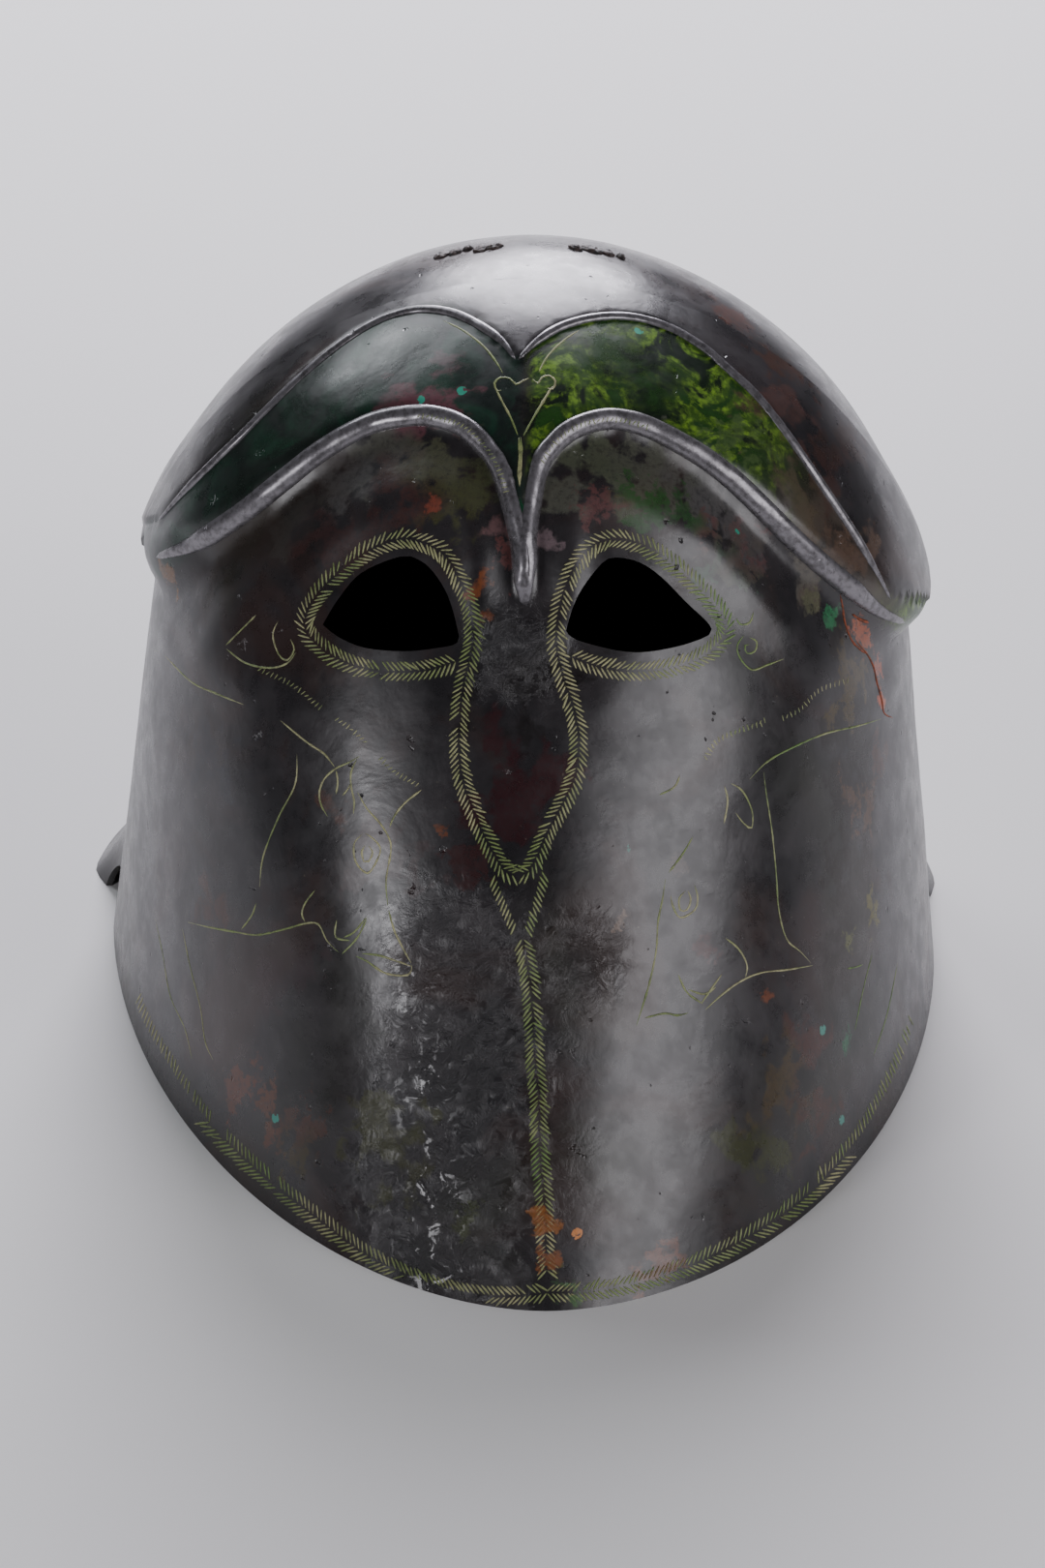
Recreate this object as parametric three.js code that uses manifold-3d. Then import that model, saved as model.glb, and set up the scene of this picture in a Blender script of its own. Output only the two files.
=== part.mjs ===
// A Corinthian helmet of the southern Italian type, raised from one sheet of bronze.
// Millimetres, +Z up. It rests on its own flat rim, with the mask towards -Y, the neck guard towards +Y
// and the origin under the middle of its box. Stations are measured back from the chin.
import * as THREE from 'three';
import { mergeVertices } from 'three/addons/utils/BufferGeometryUtils.js';
import Module from 'manifold-3d';

const wasm = await Module();
wasm.setup();

// Driving dimensions: the sheet and the round crown
const WALL = 1.5;
const CROWN_OFFSET = 180; // middle of the crown, behind the chin
const CROWN_BASE = 98; // height of the crown's widest level over the rim
const CROWN_RISE = 95;
const CROWN_HALF_WIDTH = 100;
const CROWN_HALF_LENGTH = 95;
const CROWN_SQUARENESS = 1.88; // of its outline from the front; 2 is an ellipse
const FOREHEAD_BEND = { start: 0.4, end: 0.65 }; // shares of CROWN_RISE: there the mask bends into the crown

// The wall and the face mask under the crown
const MASK_LEAN = 56; // degrees between the mask's centre line and the rim
const RIM_HALF_WIDTH = 107.5;
const TEMPLE_HALF_WIDTH = 97.5;
const CHIN_DRIFT = 3.5; // the hammered mask isn't quite true: its centre line wanders to the right
const NOSE_DRIFT = -3;
const RIM_SQUARENESS = 1.87; // superellipse exponents: 2 is an ellipse, less is more pointed
const NECK_SQUARENESS = 2.1;

// The neck guard and the notch that parts it from the cheek
const NECK_WAIST = 35; // height where the back is drawn in most
const NECK_INSET = 12;
const NECK_FLARE = 22;
const LEFT_CORNER_FLARE = 8; // at the neck guard's front corners, which aren't bent out alike
const RIGHT_CORNER_FLARE = 3;
const NOTCH_OFFSET = 194;
const NOTCH_RADIUS = 7;
const NOTCH_HEIGHT = 9;

// Relief: the step under the crown, the hollow under the brow and the raised lines
const TEMPLE_STEP = 2.5;
const TEMPLE_BULGE = 3; // how far the crown swells out just above the step
const STEP_BAND = 8;
const BACK_LINE = 104; // height of the step round the back
const BULGE_REACH = 32; // how far above the step the swelling fades
const BROW_HOLLOW = 3.2;
const BROW_HOLLOW_REACH = 34;
const HOLLOW_AIM = 0.8; // share of CROWN_BASE, the height that the hollow is driven towards
const BROW_RIB_RADIUS = 1.9;
const ARCH_RIB_RADIUS = 1.2;

// The drawing plane of the raised lines and the eye holes, which are cut square to it
const DRAWING_LEAN = 30; // degrees
const EYE_LENGTH = 34.5;
const EYE_HEIGHT = 24;
const EYE_CUT_REACH = 0.75; // share of CROWN_HALF_LENGTH

// How finely the smooth forms are divided
const FRONT_COLUMNS = 44;
const BACK_COLUMNS = 18;
const WALL_ROWS = 10;
const WALL_ROW_CROWDING = 1.15; // above 1 the rows lie closer together towards the rim
const CROWN_ROWS = 14;
const RIB_SIDES = 6;
const RIB_STEPS = 24;

// Angles round each level, in degrees from the nose, over which one form gives way to the next
const BACK_ZONE = { start: 90, end: 150 };
const FACE_EDGE = { start: 50, end: 95 };
const TEMPLE_ZONE = { start: 10, end: 45 }; // to either side of square across

const radians = THREE.MathUtils.degToRad;
const smooth = THREE.MathUtils.smoothstep;
const mix = THREE.MathUtils.lerp;
const TOP = CROWN_BASE + CROWN_RISE;

// Raised lines as drawn on a plane that leans back by DRAWING_LEAN and passes through the chin,
// from the middle outwards. across: share of CROWN_HALF_WIDTH, up: share of the whole height
const BROW_LEFT = [
  { across: -0.04, up: 0.925 },
  { across: -0.046, up: 0.99 },
  { across: -0.075, up: 1.05 },
  { across: -0.13, up: 1.108 },
  { across: -0.2, up: 1.138 },
  { across: -0.3, up: 1.15 },
  { across: -0.41, up: 1.14 },
  { across: -0.52, up: 1.11 },
  { across: -0.63, up: 1.065 },
  { across: -0.745, up: 1.018 },
  { across: -0.86, up: 0.98 },
  { across: -0.97, up: 0.965 },
];
const BROW_RIGHT = [
  { across: -0.02, up: 0.925 },
  { across: -0.018, up: 1.03 },
  { across: 0.005, up: 1.085 },
  { across: 0.05, up: 1.118 },
  { across: 0.12, up: 1.141 },
  { across: 0.2, up: 1.147 },
  { across: 0.3, up: 1.134 },
  { across: 0.42, up: 1.101 },
  { across: 0.52, up: 1.062 },
  { across: 0.63, up: 1.007 },
  { across: 0.74, up: 0.958 },
  { across: 0.86, up: 0.912 },
  { across: 0.96, up: 0.89 },
];
const ARCH_LEFT = [
  { across: -0.055, up: 1.224 },
  { across: -0.093, up: 1.248 },
  { across: -0.16, up: 1.274 },
  { across: -0.225, up: 1.288 },
  { across: -0.3, up: 1.292 },
  { across: -0.38, up: 1.282 },
  { across: -0.45, up: 1.263 },
  { across: -0.6, up: 1.203 },
  { across: -0.75, up: 1.12 },
  { across: -0.9, up: 1.046 },
  { across: -0.95, up: 1.014 },
];
const ARCH_RIGHT = [
  { across: -0.05, up: 1.224 },
  { across: -0.01, up: 1.245 },
  { across: 0.05, up: 1.267 },
  { across: 0.12, up: 1.28 },
  { across: 0.2, up: 1.285 },
  { across: 0.275, up: 1.282 },
  { across: 0.35, up: 1.268 },
  { across: 0.48, up: 1.217 },
  { across: 0.585, up: 1.167 },
  { across: 0.73, up: 1.064 },
  { across: 0.873, up: 0.954 },
  { across: 0.907, up: 0.923 },
];

// Eye outlines, along: share of EYE_LENGTH from the inner corner, up: share of EYE_HEIGHT
const EYE_OUTLINE = [
  { along: 0.0, up: 0.14 },
  { along: 0.16, up: 0.04 },
  { along: 0.42, up: 0.0 },
  { along: 0.66, up: 0.02 },
  { along: 0.87, up: 0.12 },
  { along: 1.0, up: 0.26 },
  { along: 0.87, up: 0.54 },
  { along: 0.7, up: 0.8 },
  { along: 0.5, up: 0.95 },
  { along: 0.36, up: 0.99 },
  { along: 0.24, up: 0.93 },
  { along: 0.12, up: 0.7 },
  { along: 0.03, up: 0.36 },
];
// inner: share of CROWN_HALF_WIDTH from the middle line to the inner corner,
// foot: share of the whole height up the drawing plane to the lowest point
const EYES = [
  { side: -1, inner: 0.194, foot: 0.844 },
  { side: 1, inner: 0.08, foot: 0.846 },
];

// The crown's share of its full size at a height
function crownShare(height, power = 2) {
  const over = Math.max(0, height - CROWN_BASE) / CROWN_RISE;
  return Math.max(0, 1 - over ** power) ** (1 / power);
}

function maskStation(height) {
  return height / Math.tan(radians(MASK_LEAN));
}

// One level of the helmet: front and back stations, half width and the two exponents
function sectionAt(height, above) {
  const share = crownShare(height);
  const waist = smooth(height, NECK_WAIST, CROWN_BASE);
  const wall = mix(RIM_HALF_WIDTH, TEMPLE_HALF_WIDTH, height / CROWN_BASE);
  const crown = CROWN_HALF_WIDTH * crownShare(height, CROWN_SQUARENESS);
  const low = Math.min(1, height / CROWN_BASE);
  const over = (height - CROWN_BASE) / CROWN_RISE;
  const forehead = smooth(over, FOREHEAD_BEND.start, FOREHEAD_BEND.end);
  return {
    front: mix(maskStation(height), CROWN_OFFSET - CROWN_HALF_LENGTH * share, forehead),
    back: CROWN_OFFSET + CROWN_HALF_LENGTH * share - NECK_INSET * (1 - waist),
    half: mix(share < 1 ? Math.min(wall, crown - TEMPLE_STEP) : wall, crown, above),
    frontPower: mix(RIM_SQUARENESS, 2, low),
    backPower: mix(NECK_SQUARENESS, 2, low),
    drift: mix(CHIN_DRIFT, NOSE_DRIFT, smooth(height, 0, CROWN_BASE)) * share,
  };
}

// A point of the face without its relief. angle: 0 at the nose, positive to the right, pi at the back
function plainPoint(angle, height) {
  return levelPoint(sectionAt(height, 0.5), angle);
}

// The angle at which a level of the helmet lies so far across
function angleAt(pointAt, across, height) {
  let [low, high] = [-Math.PI / 2, Math.PI / 2];
  for (let i = 0; i < 30; i += 1) {
    const middle = (low + high) / 2;
    [low, high] = pointAt(middle, height).x < across ? [middle, high] : [low, middle];
  }
  return (low + high) / 2;
}

// A drawn line as seen square from the front: how far across and how high each point lies
function elevation(line) {
  const lean = radians(DRAWING_LEAN);
  return line.map((p) => {
    const across = p.across * CROWN_HALF_WIDTH;
    let [low, high] = [0, TOP];
    for (let i = 0; i < 30; i += 1) {
      const middle = (low + high) / 2;
      const station = plainPoint(angleAt(plainPoint, across, middle), middle).y;
      const up = station * Math.sin(lean) + middle * Math.cos(lean);
      [low, high] = up < p.up * TOP ? [middle, high] : [low, middle];
    }
    return new THREE.Vector3(across, (low + high) / 2, 0);
  });
}

const BROWS = [
  { side: -1, line: elevation(BROW_LEFT) },
  { side: 1, line: elevation(BROW_RIGHT) },
];
const BROW_MEETING = (BROWS[0].line[0].x + BROWS[1].line[0].x) / 2;

// Height of the step that parts the crown from the wall, and how far above it a point lies
function lineHeight(brow, across) {
  const next = brow.line.findIndex((point) => brow.side * point.x > brow.side * across);
  if (next < 0) {
    return brow.line[brow.line.length - 1].y;
  }
  const [a, b] = [brow.line[Math.max(0, next - 1)], brow.line[next]];
  return next === 0 ? b.y : mix(a.y, b.y, (across - a.x) / (b.x - a.x));
}

function distanceAbove(brow, across, height) {
  const here = new THREE.Vector3(across, height, 0);
  let nearest = Infinity;
  for (let i = 1; i < brow.line.length; i += 1) {
    const span = new THREE.Line3(brow.line[i - 1], brow.line[i]);
    const foot = span.closestPointToPoint(here, true, new THREE.Vector3());
    nearest = Math.min(nearest, foot.distanceTo(here));
  }
  return height > lineHeight(brow, across) ? nearest : -nearest;
}

function levelPoint(section, angle) {
  const [s, c] = [Math.sin(angle), Math.cos(angle)];
  const power = c > 0 ? section.frontPower : section.backPower;
  const depth = c > 0 ? section.front - CROWN_OFFSET : section.back - CROWN_OFFSET;
  const side = Math.sign(s) * Math.abs(s) ** (2 / power);
  const along = Math.abs(c) ** (2 / power);
  return new THREE.Vector2(
    section.half * side + section.drift * Math.max(0, c),
    CROWN_OFFSET + depth * along,
  );
}

// 0 where a zone starts, 1 where it ends
function zoneShare(angle, zone) {
  return smooth(angle, radians(zone.start), radians(zone.end));
}

// A point of the outer face with its relief
function outerPoint(angle, height) {
  const first = plainPoint(angle, height);
  const brow = BROWS[first.x < BROW_MEETING ? 0 : 1];
  const behind = zoneShare(Math.abs(angle), BACK_ZONE);
  const temple = brow.line[brow.line.length - 1].y;
  const front = distanceAbove(brow, first.x, height);
  const rise = Math.abs(angle) < Math.PI / 2 ? front : height - mix(temple, BACK_LINE, behind);
  const above = smooth(rise, -STEP_BAND / 2, STEP_BAND / 2);
  const plan = levelPoint(sectionAt(height, above), angle);

  const curl = Math.max(0, 1 - height / NECK_WAIST) ** 2;
  const guard = smooth(plan.y, NOTCH_OFFSET - NOTCH_RADIUS / 2, NOTCH_OFFSET + 2 * NOTCH_RADIUS);
  const corner = angle < 0 ? LEFT_CORNER_FLARE : RIGHT_CORNER_FLARE;
  const flare = mix(corner, NECK_FLARE, behind) * guard * curl;
  const out = new THREE.Vector2(plan.x, plan.y - CROWN_OFFSET).normalize();
  plan.addScaledVector(out, flare);

  const facing = 1 - zoneShare(Math.abs(angle), FACE_EDGE);
  const hollow = BROW_HOLLOW * facing * (1 - above) * (1 - smooth(-rise, 0, BROW_HOLLOW_REACH));
  const beside = 1 - zoneShare(Math.abs(Math.abs(angle) - Math.PI / 2), TEMPLE_ZONE);
  plan.addScaledVector(out, TEMPLE_BULGE * beside * above * (1 - smooth(rise, 0, BULGE_REACH)));
  const point = new THREE.Vector3(plan.x, plan.y, height);
  const inward = new THREE.Vector3(0, CROWN_OFFSET, CROWN_BASE * HOLLOW_AIM).sub(point).normalize();
  return point.addScaledVector(inward, hollow);
}

function columnAngles() {
  const angles = [];
  for (let i = 0; i < FRONT_COLUMNS; i += 1) {
    angles.push(mix(-Math.PI / 2, Math.PI / 2, i / FRONT_COLUMNS));
  }
  for (let i = 0; i < BACK_COLUMNS; i += 1) {
    angles.push(mix(Math.PI / 2, (3 * Math.PI) / 2, i / BACK_COLUMNS));
  }
  return angles.map((angle) => (angle > Math.PI ? angle - 2 * Math.PI : angle));
}

function rowHeights() {
  const heights = [];
  for (let i = 0; i < WALL_ROWS; i += 1) {
    heights.push(CROWN_BASE * (i / WALL_ROWS) ** WALL_ROW_CROWDING);
  }
  for (let i = 0; i < CROWN_ROWS; i += 1) {
    heights.push(CROWN_BASE + CROWN_RISE * Math.sin(((i / CROWN_ROWS) * Math.PI) / 2));
  }
  return heights;
}

// A dome of rows and columns, closed at its top by one pole
function domeGeometry(pointAt) {
  const [angles, heights] = [columnAngles(), rowHeights()];
  const count = angles.length;
  const positions = [];
  const index = [];
  heights.forEach((height, row) => {
    angles.forEach((angle, column) => positions.push(...pointAt(angle, height, row, column)));
  });
  positions.push(...pointAt(0, TOP, heights.length, 0));
  const pole = heights.length * count;
  for (let column = 0; column < count; column += 1) {
    const next = (column + 1) % count;
    for (let row = 1; row < heights.length; row += 1) {
      const [low, high] = [(row - 1) * count, row * count];
      index.push(low + column, low + next, high + next, low + column, high + next, high + column);
    }
    const last = pole - count;
    index.push(last + column, last + next, pole);
  }
  const geometry = new THREE.BufferGeometry();
  geometry.setAttribute('position', new THREE.Float32BufferAttribute(positions, 3));
  geometry.setIndex(index);
  geometry.computeVertexNormals();
  return geometry;
}

// The sheet: the outer face, the same face set in by the wall, and the flat rim between them
function sheetGeometry() {
  const outer = domeGeometry((angle, height) => outerPoint(angle, height).toArray());
  const columns = columnAngles().length;
  const at = outer.getAttribute('position');
  const normal = outer.getAttribute('normal');
  const shell = at.count;
  const positions = Array.from(at.array);
  for (let i = 0; i < shell; i += 1) {
    const point = new THREE.Vector3().fromBufferAttribute(at, i);
    const inward = new THREE.Vector3().fromBufferAttribute(normal, i).negate();
    if (i < columns) {
      const flat = new THREE.Vector3(inward.x, inward.y, 0);
      inward.copy(flat.divideScalar(flat.lengthSq()));
    }
    positions.push(...point.addScaledVector(inward, WALL).toArray());
  }
  const faces = Array.from(outer.getIndex().array);
  const index = [...faces];
  for (let i = 0; i < faces.length; i += 3) {
    index.push(shell + faces[i], shell + faces[i + 2], shell + faces[i + 1]);
  }
  for (let column = 0; column < columns; column += 1) {
    const next = (column + 1) % columns;
    index.push(column, shell + column, next, next, shell + column, shell + next);
  }
  const geometry = new THREE.BufferGeometry();
  geometry.setAttribute('position', new THREE.Float32BufferAttribute(positions, 3));
  geometry.setIndex(index);
  return geometry;
}

function ribGeometry(line, radius) {
  const path = new THREE.CatmullRomCurve3(
    elevation(line).map((p) => outerPoint(angleAt(outerPoint, p.x, p.y), p.y)),
  );
  const section = new THREE.Shape();
  section.absarc(0, 0, radius, 0, 2 * Math.PI);
  return new THREE.ExtrudeGeometry(section, {
    steps: RIB_STEPS,
    curveSegments: RIB_SIDES / 2,
    extrudePath: path,
    bevelEnabled: false,
  });
}

// The plug of air that an eye hole leaves, drawn on a leaning plane and run back through the mask
function eyeGeometry(eye) {
  const [inner, foot] = [eye.inner * CROWN_HALF_WIDTH, eye.foot * TOP];
  const corners = EYE_OUTLINE.map(
    (p) => new THREE.Vector2(eye.side * (inner + p.along * EYE_LENGTH), foot + p.up * EYE_HEIGHT),
  );
  const depth = CROWN_HALF_LENGTH * EYE_CUT_REACH;
  const geometry = new THREE.ExtrudeGeometry(new THREE.Shape(corners), { depth, bevelEnabled: false });
  geometry.translate(0, 0, -depth);
  geometry.rotateX(radians(90 - DRAWING_LEAN));
  return geometry;
}

function toManifold(source) {
  const bare = source.clone();
  bare.deleteAttribute('normal');
  bare.deleteAttribute('uv');
  const merged = mergeVertices(bare, 1e-4);
  return new wasm.Manifold(
    new wasm.Mesh({
      numProp: 3,
      vertProperties: new Float32Array(merged.getAttribute('position').array),
      triVerts: new Uint32Array(merged.getIndex().array),
    }),
  );
}

function toGeometry(solid) {
  const mesh = solid.getMesh();
  const geometry = new THREE.BufferGeometry();
  geometry.setAttribute('position', new THREE.Float32BufferAttribute(mesh.vertProperties, 3));
  geometry.setIndex(Array.from(mesh.triVerts));
  geometry.computeVertexNormals();
  return geometry;
}

function notchGeometry() {
  const reach = 2 * (RIM_HALF_WIDTH + NECK_FLARE);
  const cutter = new THREE.CylinderGeometry(NOTCH_RADIUS, NOTCH_RADIUS, reach, 16);
  cutter.rotateZ(Math.PI / 2);
  cutter.translate(0, NOTCH_OFFSET, NOTCH_HEIGHT - NOTCH_RADIUS);
  return cutter;
}

function helmetGeometry() {
  let solid = toManifold(sheetGeometry());
  const ribs = [
    [BROW_LEFT, BROW_RIB_RADIUS],
    [BROW_RIGHT, BROW_RIB_RADIUS],
    [ARCH_LEFT, ARCH_RIB_RADIUS],
    [ARCH_RIGHT, ARCH_RIB_RADIUS],
  ];
  for (const [line, radius] of ribs) {
    solid = solid.add(toManifold(ribGeometry(line, radius)));
  }
  for (const eye of EYES) {
    solid = solid.subtract(toManifold(eyeGeometry(eye)));
  }
  return toGeometry(solid.subtract(toManifold(notchGeometry())));
}

const bronze = new THREE.MeshStandardMaterial({ color: 0x2b2724, roughness: 0.38, metalness: 0.9 });
const shell = new THREE.Mesh(helmetGeometry(), bronze);
shell.name = 'helmet_shell';
shell.geometry.computeBoundingBox();
const middle = shell.geometry.boundingBox.getCenter(new THREE.Vector3());
shell.position.set(-middle.x, -middle.y, 0);

const helmet = new THREE.Group();
helmet.add(shell);

export default helmet;
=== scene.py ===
"""A southern Italian Corinthian helmet in old bronze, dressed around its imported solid.

The sheet itself is hammered finely here, with its ribs, its chased herringbone borders, the engraved boars,
the lotus over the nose and the scars on the crown. Lengths are metres unless a name says millimetres.
"""

import logging
import math
from dataclasses import dataclass, field
from enum import Enum

import bmesh
import bpy
import numpy as np
from mathutils import Matrix, Vector, noise
from mathutils.bvhtree import BVHTree


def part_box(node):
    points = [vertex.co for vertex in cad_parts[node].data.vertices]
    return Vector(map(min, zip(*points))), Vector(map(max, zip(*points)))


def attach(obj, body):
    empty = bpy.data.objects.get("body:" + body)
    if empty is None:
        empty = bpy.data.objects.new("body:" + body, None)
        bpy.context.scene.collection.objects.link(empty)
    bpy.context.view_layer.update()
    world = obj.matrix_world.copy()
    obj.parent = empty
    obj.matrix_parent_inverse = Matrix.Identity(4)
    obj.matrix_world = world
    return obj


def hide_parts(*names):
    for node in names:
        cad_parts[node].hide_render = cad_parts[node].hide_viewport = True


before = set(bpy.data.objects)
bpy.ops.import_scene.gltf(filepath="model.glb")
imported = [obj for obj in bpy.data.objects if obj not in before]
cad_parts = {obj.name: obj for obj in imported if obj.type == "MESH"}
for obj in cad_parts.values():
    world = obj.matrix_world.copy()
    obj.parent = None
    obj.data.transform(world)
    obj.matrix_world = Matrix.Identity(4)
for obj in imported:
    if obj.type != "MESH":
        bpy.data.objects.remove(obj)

LOG = logging.getLogger("helmet")
MM = 0.001
SHELL_NODE = "helmet_shell"
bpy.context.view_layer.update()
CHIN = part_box(SHELL_NODE)[0].y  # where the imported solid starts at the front
MIDDLE_ACROSS = 1.776  # millimetres from the middle of the box to the chin's own middle line
ON_RIM = 1e-5  # metres; what lies lower belongs to the rim

Point = tuple[float, float]
Colour = tuple[float, float, float]


def smooth(value: np.ndarray, low: float, high: float) -> np.ndarray:
    """Ease from 0 at low to 1 at high.

    Args:
        value: The numbers to ease.
        low: Where the result leaves 0.
        high: Where the result reaches 1.

    Returns:
        The eased numbers, from 0 to 1.
    """
    share = np.clip((np.asarray(value, float) - low) / (high - low), 0.0, 1.0)
    return share * share * (3.0 - 2.0 * share)


def mix(low: np.ndarray, high: np.ndarray, share: np.ndarray) -> np.ndarray:
    """Blend two values: low where share is 0, high where it is 1."""
    return low + (high - low) * share


def flowing(points: list[Point], step: float) -> list[Point]:
    """Run a smooth line through a few drawn points.

    Args:
        points: The drawn points.
        step: About how far apart the points of the result lie, in the points' own unit.

    Returns:
        The points of a Catmull-Rom line through all the drawn ones.
    """
    knots = [np.array(p, float) for p in points]
    knots = [2 * knots[0] - knots[1], *knots, 2 * knots[-1] - knots[-2]]
    made: list[Point] = []
    for a, b, c, d in zip(knots, knots[1:], knots[2:], knots[3:]):
        count = max(1, round(float(np.linalg.norm(c - b)) / step))
        for i in range(count):
            t = i / count
            place = b + 0.5 * t * ((c - a) + t * ((2 * a - 5 * b + 4 * c - d) + t * (3 * (b - c) + d - a)))
            made.append((float(place[0]), float(place[1])))
    return [*made, (float(points[-1][0]), float(points[-1][1]))]


def resampled(points: list[Point], pitch: float) -> list[tuple[Point, Point]]:
    """Step evenly along a line.

    Args:
        points: The line.
        pitch: The step, in the line's own unit.

    Returns:
        Places along the line, each with the unit direction of the line there.
    """
    made: list[tuple[Point, Point]] = []
    left = pitch / 2
    for (ax, ay), (bx, by) in zip(points, points[1:]):
        length = math.hypot(bx - ax, by - ay)
        while length > 0 and left <= length:
            share = left / length
            made.append(((ax + (bx - ax) * share, ay + (by - ay) * share), ((bx - ax) / length, (by - ay) / length)))
            left += pitch
        left -= length
    return made


@dataclass(frozen=True)
class PicturePlane:
    """The plane that the decoration is drawn on, square to a long lens that looks down on the mask.

    Places on it are millimetres across and up from the foot of the picture's middle line.
    """

    azimuth: float = -1.0
    elevation: float = 30.0
    roll: float = 1.3
    distance: float = 2.6
    pivot_back: float = 0.142  # from the chin to the point that the lens is aimed from
    pivot_height: float = 0.095
    pivot_across: float = 2.2  # millimetres, where that point shows on the plane
    pivot_up: float = 157.3
    frame_height: float = 399.3  # millimetres of plane that the upright picture holds
    frame_middle: float = 133.6
    sensor: float = 36.0

    def axes(self) -> tuple[Vector, Vector, Vector]:
        """Give the directions forward, right and up of the upright picture."""
        turn, tilt = math.radians(self.azimuth), math.radians(self.elevation)
        forward = Vector((-math.sin(turn) * math.cos(tilt), math.cos(turn) * math.cos(tilt), -math.sin(tilt)))
        right = Vector((math.cos(turn), math.sin(turn), 0.0))
        return forward, right, right.cross(forward)

    def pivot(self) -> Vector:
        """Give the point that the lens is aimed at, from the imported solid's own box."""
        return Vector((MIDDLE_ACROSS * MM, CHIN + self.pivot_back, self.pivot_height))

    def ray(self, across: float, up: float) -> tuple[Vector, Vector]:
        """Give the lens's place and the direction from it through a place on the plane.

        Args:
            across: Millimetres to the right of the picture's middle line.
            up: Millimetres up the plane.

        Returns:
            The start and the unit direction of the ray.
        """
        forward, right, upward = self.axes()
        lean = math.radians(self.roll)
        over, rise = (across - self.pivot_across) * MM, (up - self.pivot_up) * MM
        side = over * math.cos(lean) - rise * math.sin(lean)
        height = rise * math.cos(lean) + over * math.sin(lean)
        start = self.pivot() - forward * self.distance
        return start, (forward * self.distance + right * side + upward * height).normalized()

    def camera(self) -> bpy.types.Object:
        """Set up the camera that sees the plane as it was drawn.

        Returns:
            The camera, which is the scene's own.
        """
        forward, right, upward = self.axes()
        lean = math.radians(self.roll)
        side = right * math.cos(lean) + upward * math.sin(lean)
        top = upward * math.cos(lean) - right * math.sin(lean)
        data = bpy.data.cameras.new("camera")
        data.sensor_width = self.sensor
        data.lens = self.sensor * self.distance / (self.frame_height * MM)
        data.shift_x = -self.pivot_across / self.frame_height
        data.shift_y = -(self.pivot_up - self.frame_middle) / self.frame_height
        data.clip_end = 50.0
        camera = bpy.data.objects.new("camera", data)
        turn = Matrix((side, top, -forward)).transposed().to_4x4()
        camera.matrix_world = Matrix.Translation(self.pivot() - forward * self.distance) @ turn
        bpy.context.scene.collection.objects.link(camera)
        bpy.context.scene.camera = camera
        return camera


PICTURE = PicturePlane()
PIXEL = 0.2465  # millimetres of the picture plane
PICTURE_MIDDLE = 540.0
PICTURE_FOOT = 1352.0


def chart(*pixels: Point) -> list[Point]:
    """Turn places read off the upright picture, in its pixels, into millimetres of the picture plane."""
    return [((x - PICTURE_MIDDLE) * PIXEL, (PICTURE_FOOT - y) * PIXEL) for x, y in pixels]


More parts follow.
